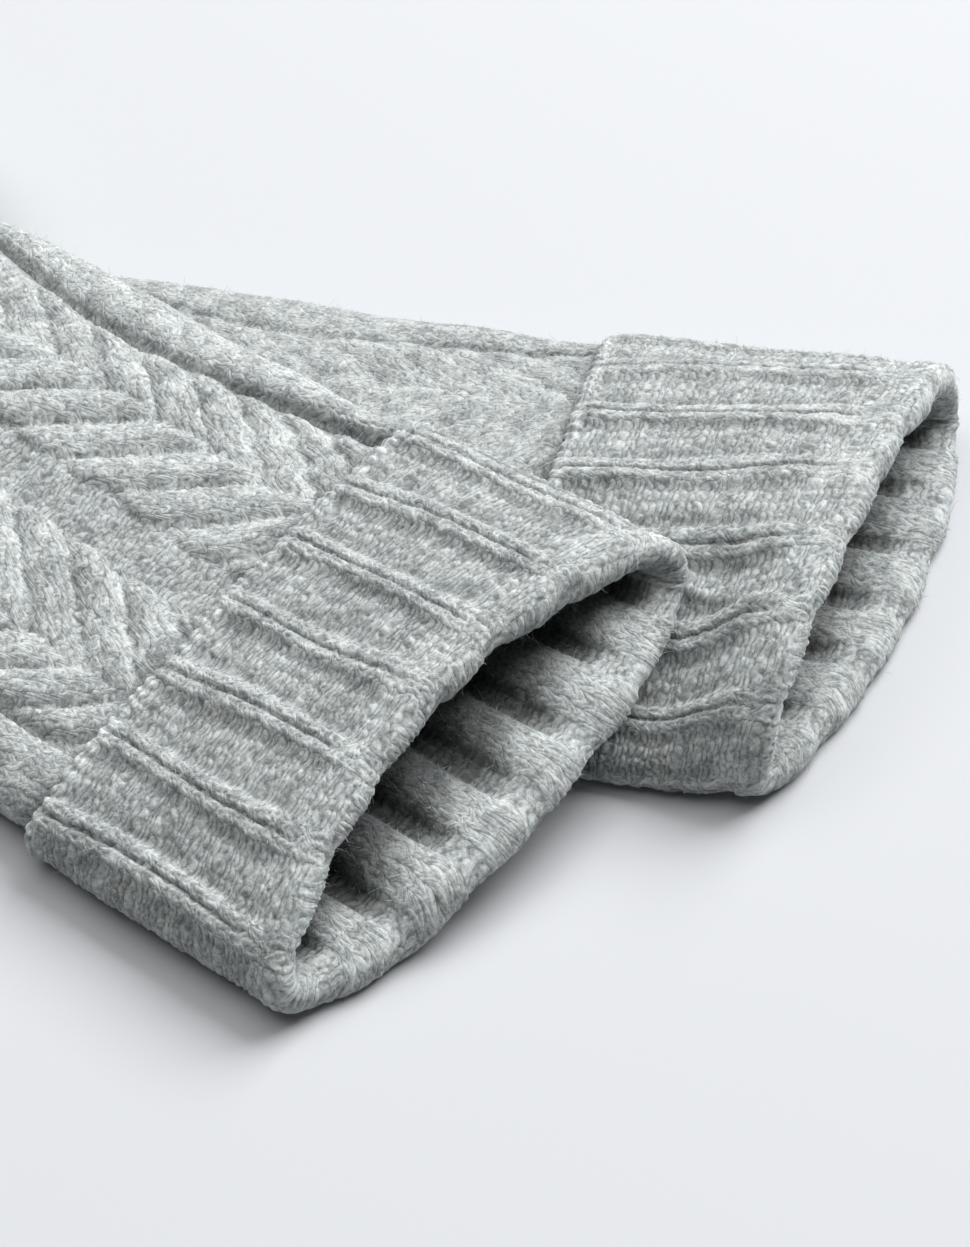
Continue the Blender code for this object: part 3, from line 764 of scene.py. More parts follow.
def stitch_height(u: np.ndarray, c: np.ndarray, purl: np.ndarray, seed: int) -> np.ndarray:
    """Relief of the stitches over the cloth's level, each stitch a little higher or lower than the next."""
    relief = np.where(purl > 0.5, purl_relief(u, c), knit_relief(u, c))
    own = np.random.default_rng(seed).uniform(0.6, 1.0, (97, 101))
    return relief * own[np.floor(u).astype(int) % 97, np.floor(c).astype(int) % 101] - LOWERED


def build_mesh(name: str, points: np.ndarray, faces: np.ndarray) -> bpy.types.Mesh:
    """A mesh of faces that all have the same number of corners.

    Args:
        name: the mesh's name.
        points: (count, 3) in metres.
        faces: (count, corners) point numbers.

    Returns:
        The mesh, shaded smooth.
    """
    mesh = bpy.data.meshes.new(name)
    mesh.vertices.add(len(points))
    mesh.vertices.foreach_set("co", np.ascontiguousarray(points, np.float32).ravel())
    mesh.loops.add(faces.size)
    mesh.loops.foreach_set("vertex_index", np.ascontiguousarray(faces, np.int32).ravel())
    mesh.polygons.add(len(faces))
    mesh.polygons.foreach_set("loop_start", np.arange(0, faces.size, faces.shape[1], dtype=np.int32))
    mesh.update(calc_edges=True)
    mesh.validate()
    mesh.shade_smooth()
    return mesh


def place_piece(name: str, mesh: bpy.types.Mesh, material: bpy.types.Material) -> bpy.types.Object:
    """An object with its place in its mesh, dressed in one material and riding on the gloves' body."""
    mesh.materials.append(material)
    piece = bpy.data.objects.new(name, mesh)
    bpy.context.scene.collection.objects.link(piece)
    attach(piece, BODY)
    return piece


@dataclass(frozen=True)
class Cuff:
    """The ribbed band, double because it is turned back at the mouth."""

    form: Form
    columns_a_wale: tuple[int, int] = (6, 4)  # over the back and under it
    rows_a_course: int = 3
    hollow_shown: float = 26.0 * MM  # how deep the hollow has its fine rows
    pair_rise: float = 1.1 * MM
    dent: float = 0.45 * MM  # between the two wales of a pair
    band_rise: float = 0.35 * MM
    # painted shade on the line between a pair's wales and in the valley beside each pair
    valley_shade: float = 0.42
    # painted shade over the purl bands between the pairs
    band_shade: float = 0.12
    hollow_rise: float = 2.7 * MM
    groove: float = 0.5 * MM
    # painted shade in the grooves between the hollow's ribs
    groove_shade: float = 0.45
    rim_swell: float = 1.35 * MM
    stitch_rise: float = 0.7 * MM
    # painted shade deep in the mouth's hollow
    hollow_shade: float = 0.7
    chain_rise: float = 0.6 * MM
    chain_width: float = 2.6 * MM
    # painted highlight: how much lighter the hem's chain is painted
    chain_shine: float = 0.18
    unevenness: float = 0.45 * MM
    wander: float = 0.3  # of a wale
    seed: int = 11

    def wale_places(self) -> np.ndarray:
        """Places round the cuff, in wales from the top centre, closer together over the back."""
        quarter = WALES / 4
        fine, coarse = self.columns_a_wale
        over = np.arange(0, quarter * fine) / fine
        under = np.arange(0, 2 * quarter * coarse) / coarse
        return np.concatenate([over, quarter + under, 3 * quarter + over])

    def profile(self) -> np.ndarray:
        """The band's section, from the hem over the outside, round the fold, into the hollow and back.

        Returns:
            Rows of place from the mouth, depth, turn of the fold (0 outside, 1 in the hollow, 2 between
            the layers) and length.
        """
        fold = WALL + LAYER_GAP / 2
        depth = 2 * WALL + LAYER_GAP
        turn_at = fold + 1 * MM
        inner_end = CUFF_DEPTH - TUCK
        fine = COURSE / self.rows_a_course
        edge = WALL / 2
        bead = np.linspace(-np.pi / 2, np.pi / 2, 7)[:-1]
        angle = np.linspace(0, np.pi, 16)
        back = np.linspace(inner_end, turn_at + 2 * MM, 4)
        parts = [
            (CUFF_DEPTH - edge + edge * np.cos(bead), edge - edge * np.sin(bead), 0.0),
            (np.arange(CUFF_DEPTH - edge, turn_at, -fine), 0.0, 0.0),
            (turn_at - turn_at * np.sin(angle), fold - fold * np.cos(angle), angle / np.pi),
            (np.arange(turn_at + fine, self.hollow_shown, fine), depth, 1.0),
            (np.linspace(self.hollow_shown, inner_end, 12), depth, 1.0),
            (back, WALL + LAYER_GAP, 2.0),
            (back[::-1], WALL, 2.0),
            (CUFF_DEPTH - 2 * MM, WALL, 2.0),
        ]
        table = np.concatenate([np.stack(np.broadcast_arrays(*part), -1).reshape(-1, 3) for part in parts])
        return np.concatenate([table, run_length(table[:, :2])[:, None]], 1)

    def from_rib(self, wale: np.ndarray) -> np.ndarray:
        """Distance from the nearest rib's middle, in wales."""
        return np.abs(np.mod(wale + WALES_A_RIB / 2, WALES_A_RIB) - WALES_A_RIB / 2)

    def rib(self, wale: np.ndarray, turn: np.ndarray, s: np.ndarray) -> np.ndarray:
        """Height of the ribs.

        Outside, two knit wales stand up between four purl ones, which arch softly. In the hollow the four
        are knit and stand up as half an ellipse between grooves of two. The hollow's pattern takes over
        before the fold's middle, where the outside ribs have sunk into the rim.

        Args:
            wale: place round the cuff, in wales from a rib's middle.
            turn: 0 outside, 1 in the hollow.
            s: distance from the mouth.

        Returns:
            The height in metres.
        """
        from_rib = self.from_rib(wale)
        outside = self.pair_rise * fade(from_rib, 1.65, 1.05) - self.dent * hump(from_rib / 0.14)
        outside = outside + self.band_rise * half_round((3 - from_rib) / 1.7)
        outside = outside * blend(0.12, 1.0, ramp(s, 3.5 * MM, 7 * MM))
        hollow = self.hollow_rise * half_round((3 - from_rib) / 2.2) - self.groove
        hollow = hollow * blend(0.2, 1.0, ramp(s, 1 * MM, 7 * MM))
        return blend(outside, hollow, eased(turn / 0.55))

    def purl(self, wale: np.ndarray, turn: np.ndarray) -> np.ndarray:
        """1 where the band shows purl: between the pairs outside, and on them in the hollow."""
        between = self.from_rib(wale) > 1.0
        return np.where(turn < 0.35, between, ~between).astype(float)

    def shade(self, wale: np.ndarray, turn: np.ndarray, s: np.ndarray, chain: np.ndarray) -> np.ndarray:
        """What is left of the light under the painted shade of the ribs and the hollow, over the relief's
        own shadows, with a painted highlight on the hem's chain.

        Args:
            wale: place round the cuff, in wales from a rib's middle.
            turn: 0 outside, 1 in the hollow.
            s: distance from the mouth.
            chain: 1 on the chain along the hem.

        Returns:
            The share that is left.
        """
        from_rib = self.from_rib(wale)
        outside = ramp(s, 4 * MM, 6 * MM) * (turn < 0.1) * (1 - chain)
        # Painted shade: the thin line in the middle of each pair and the valley beside it
        valley = outside * (0.7 * hump((from_rib - 1.5) / 0.45) + 1.5 * hump(from_rib / 0.16))
        # Painted shade over the purl bands
        band = outside * ramp(from_rib, 1.0, 0.8)
        # Painted shade: darker deeper into the hollow, past the mouth
        inside = ramp(turn, 0.5, 0.5) * ramp(s, 2 * MM, 9 * MM)
        # Painted highlight on the hem's chain, times the painted shade of the valleys
        shade = (1 + self.chain_shine * chain) * (1 - self.valley_shade * valley)
        return shade * (1 - self.band_shade * band) * (1 - self.hollow_shade * inside)

    def surface(self) -> Knitting:
        """The band's surface with its ribs, stitches and the chain along its hem.

        Returns:
            The knitting.
        """
        form = self.form
        wale = self.wale_places()
        table = self.profile()
        rings = [form.cuff_section(s).inside(depth).ring(wale / WALES) for s, depth, _, _ in table]
        v, w = np.moveaxis(np.stack(rings), -1, 0)
        w = np.maximum(w, 0.0)
        s, _, turn, from_hem = (column[:, None] for column in table.T)
        lip = np.where(w > SIDE_HEIGHT, form.top_set_back, -form.bottom_reach)
        lip = lip * np.clip(1 - (v / HALF_WIDTH) ** 2, 0, 1)
        lip = lip * np.minimum(np.abs(w - SIDE_HEIGHT) / (3 * MM), 1)
        to_mouth = np.clip(1 - s / (CUFF_DEPTH - TUCK), 0, 1)
        points = form.to_row(s + to_mouth * (lip - form.skew * v / HALF_WIDTH), v, w)

        edges = np.append(wale, WALES)[None]
        bend = ripple(from_hem, np.sin(2 * np.pi * edges / WALES) * 60 * MM, self.seed)
        ribs = edges - form.rib_shift / WALE + self.wander * bend
        wales, courses = jostled(ribs, np.broadcast_to(from_hem / COURSE, ribs.shape), self.seed)
        wales[:, -1] = wales[:, 0] + WALES
        courses[:, -1] = courses[:, 0]

        shown = (turn < 1.5).astype(float)
        turn = np.minimum(turn, 1.0)
        rise = self.rib(ribs[:, :-1], turn, s)
        chain = hump((from_hem - 1.9 * MM) / (0.5 * self.chain_width), 4) * shown
        links = np.abs(np.sin(np.pi * (wales[:, :-1] + 0.5 * from_hem / COURSE)))
        rise = blend(rise, self.chain_rise + 0.5 * MM * (links - 0.5), chain)
        fold_at = from_hem[np.argmin(np.abs(table[:, 2] - 0.5))]
        rise = rise + self.rim_swell * hump((from_hem - fold_at) / (4.6 * MM))
        rise = rise + self.unevenness * ripple(from_hem, v, self.seed + 1)
        purl = self.purl(ribs[:, :-1], turn)
        stitches = stitch_height(wales[:, :-1], courses[:, :-1], purl, self.seed)
        height = (rise + self.stitch_rise * stitches * (1 - 0.5 * chain)) * shown
        # Painted shade in the hollow's grooves, where the ribs are low
        to_groove = np.clip(1 - rise / (0.8 * MM), 0, 1) * ramp(turn, 0.5, 0.5)
        shade = self.shade(ribs[:, :-1], turn, s, chain) * (1 - self.groove_shade * to_groove)
        purl_faces = self.purl((ribs[:, :-1] + ribs[:, 1:]) / 2, turn)
        # From the hollow outwards, so that the faces look out
        counts = closed_counts(wales[::-1], courses[::-1])
        return Knitting(points[::-1], counts, purl_faces[::-1], shade[::-1]).raised(height[::-1], form)


@dataclass(frozen=True)
class Cables:
    """Two columns of wheat-ear cables: rounded strands that run back from the points of V's.

    A strand beside the gutter passes over the point, and the strand from the crease tucks in under it,
    half a repeat off.
    """

    gutter_first: float = 38.3 * MM  # a valley, where the column's middle line crosses it
    crease_first: float = 44.15 * MM
    gutter_slope: float = 1.15
    crease_slope: float = 1.2
    crease_curve: float = 45.0  # how fast a strand turns along the glove near the crease, per metre
    curve_from: float = 6.0 * MM
    rise: float = 1.3 * MM
    ground: float = 0.35 * MM
    over: float = 3.4 * MM  # how far a strand passes over the column's middle
    end_round: float = 3.4 * MM
    scallop: float = 1.6 * MM  # how much further a strand's end bulges at its middle
    unevenness: float = 0.9 * MM
    seed: int = 41

    def strands(self, s: np.ndarray, v: np.ndarray) -> tuple[np.ndarray, np.ndarray]:
        """Which strand a place is on, counted in repeats, for the gutter's strands and the crease's."""
        x = np.abs(v) - CABLE_MIDDLE
        turned = self.crease_curve * np.maximum(x - self.curve_from, 0) ** 2
        drawn = s + self.unevenness * ripple(2.5 * s, 2.5 * v, self.seed)
        beside_gutter = (drawn + self.gutter_slope * x - self.gutter_first) / CABLE_REPEAT
        beside_crease = (drawn - self.crease_slope * x - turned - self.crease_first) / CABLE_REPEAT
        return beside_gutter, beside_crease

    def heights(self, s: np.ndarray, v: np.ndarray) -> tuple[np.ndarray, np.ndarray]:
        """Heights of the two sets of strands.

        Each is a flattened half round across the strand, and each end is a quarter round that bulges
        further at the strand's middle.

        Args:
            s: place along the hand.
            v: place across it.

        Returns:
            The gutter's strands and the crease's, in metres.
        """
        x = np.abs(v) - CABLE_MIDDLE
        gutter_side, crease_side = (2 * fract(count) - 1 for count in self.strands(s, v))

        def round_over(across: np.ndarray) -> np.ndarray:
            """A strand's flattened half round over its width from -1 to 1."""
            return (1 - np.abs(across) ** 2.2) ** 0.62

        def end(distance: np.ndarray, across: np.ndarray) -> np.ndarray:
            """A quarter round that starts where distance passes the strand's own edge."""
            return half_round(1 - np.clip((distance - self.scallop * across**2) / self.end_round, 0, 1))

        first = end(np.abs(v) - GUTTER / 2, gutter_side) * end(self.over - x, gutter_side)
        first = first * round_over(gutter_side)
        second = end(crease_at(s, v) - np.abs(v), crease_side) * round_over(crease_side)
        second = second * blend(0.15, 1.0, ramp(x, -1 * MM, 6 * MM)) * (x > -1.5 * MM)
        return self.ground + self.rise * first, self.ground + self.rise * second


@dataclass(frozen=True)
class Hand:
    """The hand: a tube with wheat-ear cables on its back, rolled sides and a plain palm."""

    form: Form
    cables: Cables = field(default_factory=Cables)
    fine_row: float = 0.42 * MM
    coarse_row: float = 0.8 * MM
    fine_to: float = 112.0 * MM  # the photograph shows the hand no further
    step_across: float = 0.33 * MM
    roll_columns: int = 30
    palm_columns: int = 60
    roll_rise: float = 2.2 * MM
    furrow: float = 0.7 * MM
    # painted shade in the crease beside the rolled side
    furrow_shade: float = 0.25
    # painted shadow on the hand right under the cuff's hem
    hem_shade: float = 0.42
    # painted shade in the purl gutter between the cable columns
    gutter_shade: float = 0.12
    # painted shade over the whole hand and its inner face; 1 keeps all the light
    tone: float = 1.0
    stitch_rise: float = 0.5 * MM
    unevenness: float = 0.45 * MM
    seed: int = 23

    @classmethod
    def lying_under(cls, form: Form) -> Hand:
        """The hand of the glove that lies under the other one: coarser, flatter and darker by painted
        shade.
        """
        step = 0.5 * MM
        # tone 0.9 paints shade over the whole hand of the lower glove
        sizes = {"roll_rise": 1.2 * MM, "furrow": 0.3 * MM, "furrow_shade": 0.12, "tone": 0.9}
        return cls(form, Cables(rise=0.8 * MM), fine_row=step, step_across=step, **sizes)

    def rows(self) -> np.ndarray:
        """Places of the rows along the outer face, as a column."""
        under = np.linspace(CUFF_DEPTH - TUCK + 0.3 * MM, CUFF_DEPTH - 0.5 * MM, 4)
        fine = np.arange(CUFF_DEPTH, self.fine_to, self.fine_row)
        coarse = np.arange(fine[-1] + self.coarse_row, HAND_END - 0.4 * self.coarse_row, self.coarse_row)
        return np.concatenate([under, fine, coarse, [HAND_END]])[:, None]

    def columns(self, row: np.ndarray, half: np.ndarray) -> tuple[np.ndarray, np.ndarray, np.ndarray]:
        """Places across the section for each column.

        From the middle of the back to the far crease, over the far roll to the widest point, round the
        palm, and back over the near roll and the near half of the back.

        Args:
            row: (rows, 1) places along the hand.
            half: (rows, 1) half widths.

        Returns:
            v, which columns are on the upper side, and each column's region number.
        """
        shares = np.linspace(0, 1, round(NEAR_CREASE / self.step_across), endpoint=False)[None]
        swing = np.sin(np.linspace(0, np.pi / 2, self.roll_columns, endpoint=False))[None]
        palm = np.cos(np.linspace(0, np.pi, self.palm_columns, endpoint=False))[None]
        far, near = crease_at(row, 1.0), crease_at(row, -1.0)
        pieces = [
            shares * far,
            far + (half - far) * swing,
            half * palm,
            -(near + (half - near) * np.append(swing[0, 1:], 1.0)[None, ::-1]),
            -near * np.append(shares[0, 1:], 1.0)[None, ::-1],
        ]
        region = np.repeat(np.arange(len(pieces)), [piece.shape[1] for piece in pieces])
        return np.concatenate(pieces, 1), (region != 2)[None], region

    def rise(self, s: np.ndarray, v: np.ndarray, half: np.ndarray) -> np.ndarray:
        """Height of the back's relief over its plain ground: gutter, strands, crease and roll.

        The roll is half a round tube from the crease to the hand's edge, and flattens at the thumb.

        Args:
            s: place along the hand.
            v: place across it.
            half: half the hand's width.

        Returns:
            The height in metres.
        """
        crease = crease_at(s, v)
        across = np.abs(v)
        strands = np.maximum(*self.cables.heights(s, v))
        into_roll = np.clip((across - crease) / (half - crease), 0, 1)
        roll = self.roll_rise * np.sqrt(np.sin(np.pi * into_roll))
        thumb = ramp(s, THUMB_SLIT[0] - 12 * MM, 9 * MM) * fade(s, THUMB_SLIT[1] + 12 * MM, 9 * MM)
        furrow = self.furrow * hump((across - crease) / (0.9 * MM))
        furrow = furrow * np.where(v > 0, 1.0, ramp(s, 52 * MM, 10 * MM))
        ends = ramp(s, CUFF_DEPTH - 1.5 * MM, 1.5 * MM) * fade(s, HAND_END - 1 * MM, 6 * MM)
        return ends * (np.where(across < crease, strands, roll * (1 - thumb)) - furrow)

    def shade(self, s: np.ndarray, v: np.ndarray) -> np.ndarray:
        """Painted shade in the crease beside the rolled side and in the gutter, and a painted shadow right
        under the cuff's hem.
        """
        # Painted shade in the crease and the gutter
        crease = hump((np.abs(v) - crease_at(s, v)) / MM) * np.where(v > 0, 1.0, ramp(s, 55 * MM, 10 * MM))
        shade = (1 - self.furrow_shade * crease) * (1 - self.gutter_shade * hump(2 * v / GUTTER, 4))
        # Painted shadow under the cuff's hem, times the painted shade over the whole hand
        return self.tone * shade * (1 - self.hem_shade * hump((s - CUFF_DEPTH) / (2.2 * MM)))

    def counts(
        self, s: np.ndarray, v: np.ndarray, plain: np.ndarray, region: np.ndarray
    ) -> tuple[np.ndarray, np.ndarray]:
        """The stitch count of the outer face, which runs the way of what is on top.

        Along a strand on the cables, and along the hand elsewhere. The last axis holds a quad's corners,
        or one place, and what is on top is settled at their middle.

        Args:
            s: (rows, columns, places) along the hand.
            v: the same across it.
            plain: the same as the plain knitting's wales.
            region: each column's region number.

        Returns:
            Wales and courses in the last axis, and which cells are in the gutter, which is purl.
        """
        middle_s, middle_v = s.mean(-1, keepdims=True), v.mean(-1, keepdims=True)
        over, under = self.cables.heights(middle_s, middle_v)
        first, second = self.cables.strands(s, v)
        strand = math.hypot(1, self.cables.crease_slope) / (STRAND_STRETCH * COURSE)
        strand_c = (np.abs(v) - CABLE_MIDDLE) * strand
        top = over >= under
        on_back = ((region == 0) | (region == region[-1]))[None, :, None]
        gutter = on_back & (np.abs(middle_v) < GUTTER / 2)
        cable = on_back & ~gutter
        u = np.where(cable, np.where(top, first, second) * WALES_A_STRAND, plain)
        u = np.where(gutter, v / WALE, u)
        c = np.where(cable, np.where(top, -strand_c, strand_c), s / COURSE)
        return np.stack(jostled(u, c, self.seed), -1), gutter[..., 0].astype(float)

    def surface(self) -> Knitting:
        """The hand's outer and inner faces as one closed surface.

        Returns:
            The knitting.
        """
        form = self.form
        row = self.rows()
        section = form.hand_section(row)
        v, on_back, region = self.columns(row, section.half)
        w = section.face(v, on_back)
        shut_v, shut_w = (np.concatenate([grid, grid[:, :1]], 1) for grid in (v, w))
        step = np.hypot(np.diff(shut_v, axis=1), np.diff(shut_w, axis=1))
        run = np.concatenate([0 * row, np.cumsum(step, 1)], 1)
        s = np.broadcast_to(row, v.shape)
        outer = form.to_row(s, v, w + on_back * self.rise(s, v, section.half))

        row_in = np.array([HAND_END, 160 * MM, 130 * MM, 100 * MM, 75 * MM, 55 * MM, row[0, 0]])[:, None]
        section_in = form.hand_section(row_in)
        v_in, back_in, _ = self.columns(row_in, section_in.half)
        v_in = v_in * (section_in.half - HAND_WALL) / section_in.half
        inner = form.to_row(row_in, v_in, section_in.inside(HAND_WALL).face(v_in, back_in))

        far = int(np.argmax(region == 1))
        plain = (run - run[:, far : far + 1]) / WALE
        points_at = (s[..., None], v[..., None], plain[:, :-1, None])
        counts, purl = self.counts(*points_at, region)
        relief = self.stitch_rise * stitch_height(counts[..., 0, 0], counts[..., 0, 1], purl, self.seed)
        relief = relief + self.unevenness * ripple(s, v, self.seed)
        relief = relief * ramp(row, CUFF_DEPTH - 1 * MM, 1 * MM)

        shut_s = np.broadcast_to(row, run.shape)
        counts, purl = self.counts(quad_corners(shut_s), quad_corners(shut_v), quad_corners(plain), region)
        # The inner face counts on in the same columns, and its rows by their distance along the hand
        courses_in = np.append(row_in, row[:1], 0) / COURSE
        counts_in = quad_corners(np.stack(np.broadcast_arrays(run[-1:] / WALE, courses_in), -1))
        flat = np.zeros(v_in.shape)
        cloth = Knitting(
            np.concatenate([outer, inner]),
            np.concatenate([counts, counts_in, counts_in[:1]]),
            np.concatenate([purl, flat, flat[:1]]),
            np.concatenate([self.shade(s, v), flat + self.tone]),
        )
        return cloth.raised(np.concatenate([relief, flat]), form)


@dataclass(frozen=True)
class Finger:
    """One finger: a flattened tube from the knuckles to a rounded tip."""

    form: Form
    name: str
    centre: float  # from the hand's middle
    half: float
    length: float
    splay: float  # degrees, out from the hand
    around: int = 72
    row_step: float = 0.6 * MM
    root: float = -2.2 * MM  # how far the tube starts inside the hand
    tip_size: float = 0.05  # of the ring that shuts a tip
    stitch_rise: float = 0.45 * MM
    seed: int = 3

    def section(self, half: float, height: float, depth: float, scale: float) -> np.ndarray:
        """A flattened ring inside the outer face by depth and narrowed by scale."""
        at = (np.arange(self.around) + 0.5) / self.around
        ring = Section(half, 0.0, height, height / 2, CUFF_FULLNESS).inside(depth).ring(at)
        return (ring - [0, height / 2]) * scale + [0, height / 2]

    def narrowing(self, distance: float, reach: float) -> float:
        """How the finger narrows towards its tip, as a quarter of an ellipse."""
        return float(half_round(np.clip(1 - distance / reach, 0, 1)))

    def ring(self, along: float, depth: float, end: float) -> np.ndarray:
        """One ring of the finger.

        Args:
            along: distance from the root. Before the root the ring lies inside the hand.
            depth: distance inside the outer face.
            end: where this face's tip ends.

        Returns:
            (around, 3) points in the row frame.
        """
        sign = self.form.side.sign
        splay = math.radians(self.splay) * sign
        scale = self.narrowing(end - along, FINGER_TIP - depth)
        scale *= 1 - 0.22 * float(fade(along, 1 * MM, 3 * MM))
        across, w = self.section(self.half, FINGER_HEIGHT, depth, scale).T
        place = along + (1 - np.clip(along / (6 * MM), 0, 1)) * across * math.tan(splay)
        s = HAND_END + ROOT_GAP + place * math.cos(splay) - across * math.sin(splay)
        v = sign * self.centre + place * math.sin(splay) + across * math.cos(splay)
        return self.form.to_row(s, v, w)

    def surface(self) -> Knitting:
        """The finger's outer face, its tip, and its inner face back to the root.

        Returns:
            The knitting.
        """
        straight = np.arange(self.root, self.length - FINGER_TIP - 0.5 * self.row_step, self.row_step)
        turn = self.length - FINGER_TIP * (1 - np.sin(np.linspace(0, np.pi / 2, 16, endpoint=False)))
        end_in = self.length - FINGER_WALL
        places_in = [end_in - 0.5 * MM, end_in - 4 * MM, end_in - FINGER_TIP, 0.4 * self.length, self.root]
        outer = np.stack([self.ring(float(a), 0.0, self.length) for a in (*straight, *turn)])
        inner = np.stack([self.ring(float(a), FINGER_WALL, end_in) for a in places_in])
        shut = []
        for ring, end, depth in ((outer[-1], self.length, 0.0), (inner[0], end_in, FINGER_WALL)):
            tip = self.ring(end - 0.02 * MM, depth, end).mean(0)
            shut.append((tip + (ring - ring.mean(0)) * self.tip_size)[None])
        points = np.concatenate([outer, *shut, inner])

        run = run_length(points.mean(1))
        girth = run_length(np.concatenate([points[5], points[5][:1]]))[-1]
        wales = np.linspace(0, round(girth / WALE), self.around + 1)
        wales, courses = np.broadcast_arrays(wales[None], (run / COURSE)[:, None])
        purl = np.zeros(points.shape[:2])
        cloth = Knitting(points, closed_counts(wales, courses), purl, purl + 1)
        shown = (np.arange(len(points)) < len(outer) - 3)[:, None]
        relief = stitch_height(wales[:, :-1], courses[:, :-1], purl, self.seed)
        return cloth.raised(self.stitch_rise * shown * relief, self.form)


@dataclass(frozen=True)
class Thumb(Finger):
    """The thumb: its root fits the hand's rounded side over the slit, then it turns along the hand."""

    bend: float = 16.0 * MM
    elbow: Sizes = (12.0 * MM, 10.5 * MM)  # from the root, along the hand and out of it
    pull: Sizes = (3.5 * MM, 8.0 * MM)  # the curve's middle point, from the root

    def centre_at(self, along: float) -> np.ndarray:
        """The thumb's middle line: a quadratic curve out of the hand's side, then a straight run."""
        start = np.array([THUMB_AT, self.form.hand_section(THUMB_AT).half + THUMB_ROOT_GAP])
        elbow, pull = start + self.elbow, start + self.pull
        splay = math.radians(self.splay)
        t = along / self.bend
        if t >= 1:
            return elbow + (along - self.bend) * np.array([math.cos(splay), math.sin(splay)])
        return (1 - t) ** 2 * start + 2 * t * (1 - t) * pull + t * t * elbow

    def ring(self, along: float, depth: float, end: float) -> np.ndarray:
        """One ring of the thumb.

        Args:
            along: distance along its middle line from the root.
            depth: distance inside the outer face.
            end: where this face's tip ends.

        Returns:
            (around, 3) points in the row frame.
        """
        hand = self.form.hand_section(THUMB_AT)
        held = max(along, 0.0)
        t = float(eased(held / self.bend)) ** 1.3
        heading = blend(math.radians(90), math.radians(self.splay), t)
        half = blend((THUMB_SLIT[1] - THUMB_SLIT[0]) / 2, THUMB_HALF, t)
        section = self.section(half, THUMB_HEIGHT, depth, self.narrowing(end - held, FINGER_TIP - depth))
        rise = (section[:, 1] - THUMB_HEIGHT / 2) * blend(2 * THUMB_ROOT_RISE / THUMB_HEIGHT, 1.0, t)
        w = blend(hand.side, THUMB_HEIGHT / 2, t) + rise
        place = self.centre_at(held) + section[:, :1] * [-math.sin(heading), math.cos(heading)]
        top = half_round(np.clip((w - hand.side) / (hand.high - hand.side), 0, 1), HAND_FULLNESS)
        below = half_round(np.clip((hand.side - w) / (hand.side + FLAT_PRESS), 0, 1), UNDERSIDE_FULLNESS)
        fit = hand.half * np.where(w >= hand.side, top, below) - hand.half
        place[:, 1] += fade(held, 5 * MM, 5 * MM) * fit + min(along, 0.0)
        return self.form.to_row(place[:, 0], self.form.side.sign * place[:, 1], w)


@dataclass(frozen=True)
class Nap:
    """Loose fibres over a stretch of knitting: thin curved ribbons of two lengths and a point."""

    count: int
    seed: int
    reach: float = 1.15 * MM
    width: float = 0.042 * MM
    sunk: float = 0.08 * MM  # how deep a fibre's root is in the yarn
    clear: float = 0.02 * MM  # kept over the floor

    def build(self, name: str, cloth: Knitting, material: bpy.types.Material) -> bpy.types.Object:
        """Grows the fibres from random places of the part of the knitting that faces up or out.

        Each fibre starts on the surface, leans along it and lifts off, with a bend of its own.

        Args:
            name: the piece's name.
            cloth: the knitting it grows from.
            material: the fibre's material.

        Returns:
            The object, one mesh of all the fibres.
        """
        rng = np.random.default_rng(self.seed)
        size = (self.count, 1)
        points, normals = cloth.points, cloth.normals()
        along, beside = (np.roll(points, -1, axis) - points for axis in (0, 1))
        facing = np.clip(normals[..., 2] + 0.9, 0.0, 1.0)
        area = np.linalg.norm(np.cross(along, beside), axis=-1) * facing
        chance = (area / area.sum()).ravel()
        cell = np.unravel_index(rng.choice(area.size, self.count, p=chance), area.shape)
        a, b = rng.uniform(0, 1, (2, *size))
        base = points[cell] + a * along[cell] + b * beside[cell]
        normal = normals[cell]
        wander = rng.normal(size=(self.count, 3))
        lean = unit(wander - (wander * normal).sum(1, keepdims=True) * normal)
        lift = rng.uniform(0.4, 1.6, size)
        length = self.reach * rng.lognormal(-0.25, 0.5, size)
        first = unit(lean + normal * lift)
        second = unit(first + 0.8 * rng.normal(size=(self.count, 3)) + 0.15 * normal)
        root = base - self.sunk * normal
        middle = root + 0.55 * length * first
        tip = middle + 0.45 * length * second
        flat = unit(np.cross(first, rng.normal(size=(self.count, 3))))
        flat = flat * (0.5 * self.width * rng.uniform(0.7, 1.3, size))
        strands = np.stack([root - flat, root + flat, middle + 0.8 * flat, middle - 0.8 * flat, tip], 1)
        strands[..., 2] = np.maximum(strands[..., 2], self.clear)
        start = np.arange(self.count)[:, None] * 5
        triangles = np.concatenate([start + [corners] for corners in ((0, 1, 2), (0, 2, 3), (3, 2, 4))])
        return place_piece(name, build_mesh(name, strands.reshape(-1, 3), triangles), material)


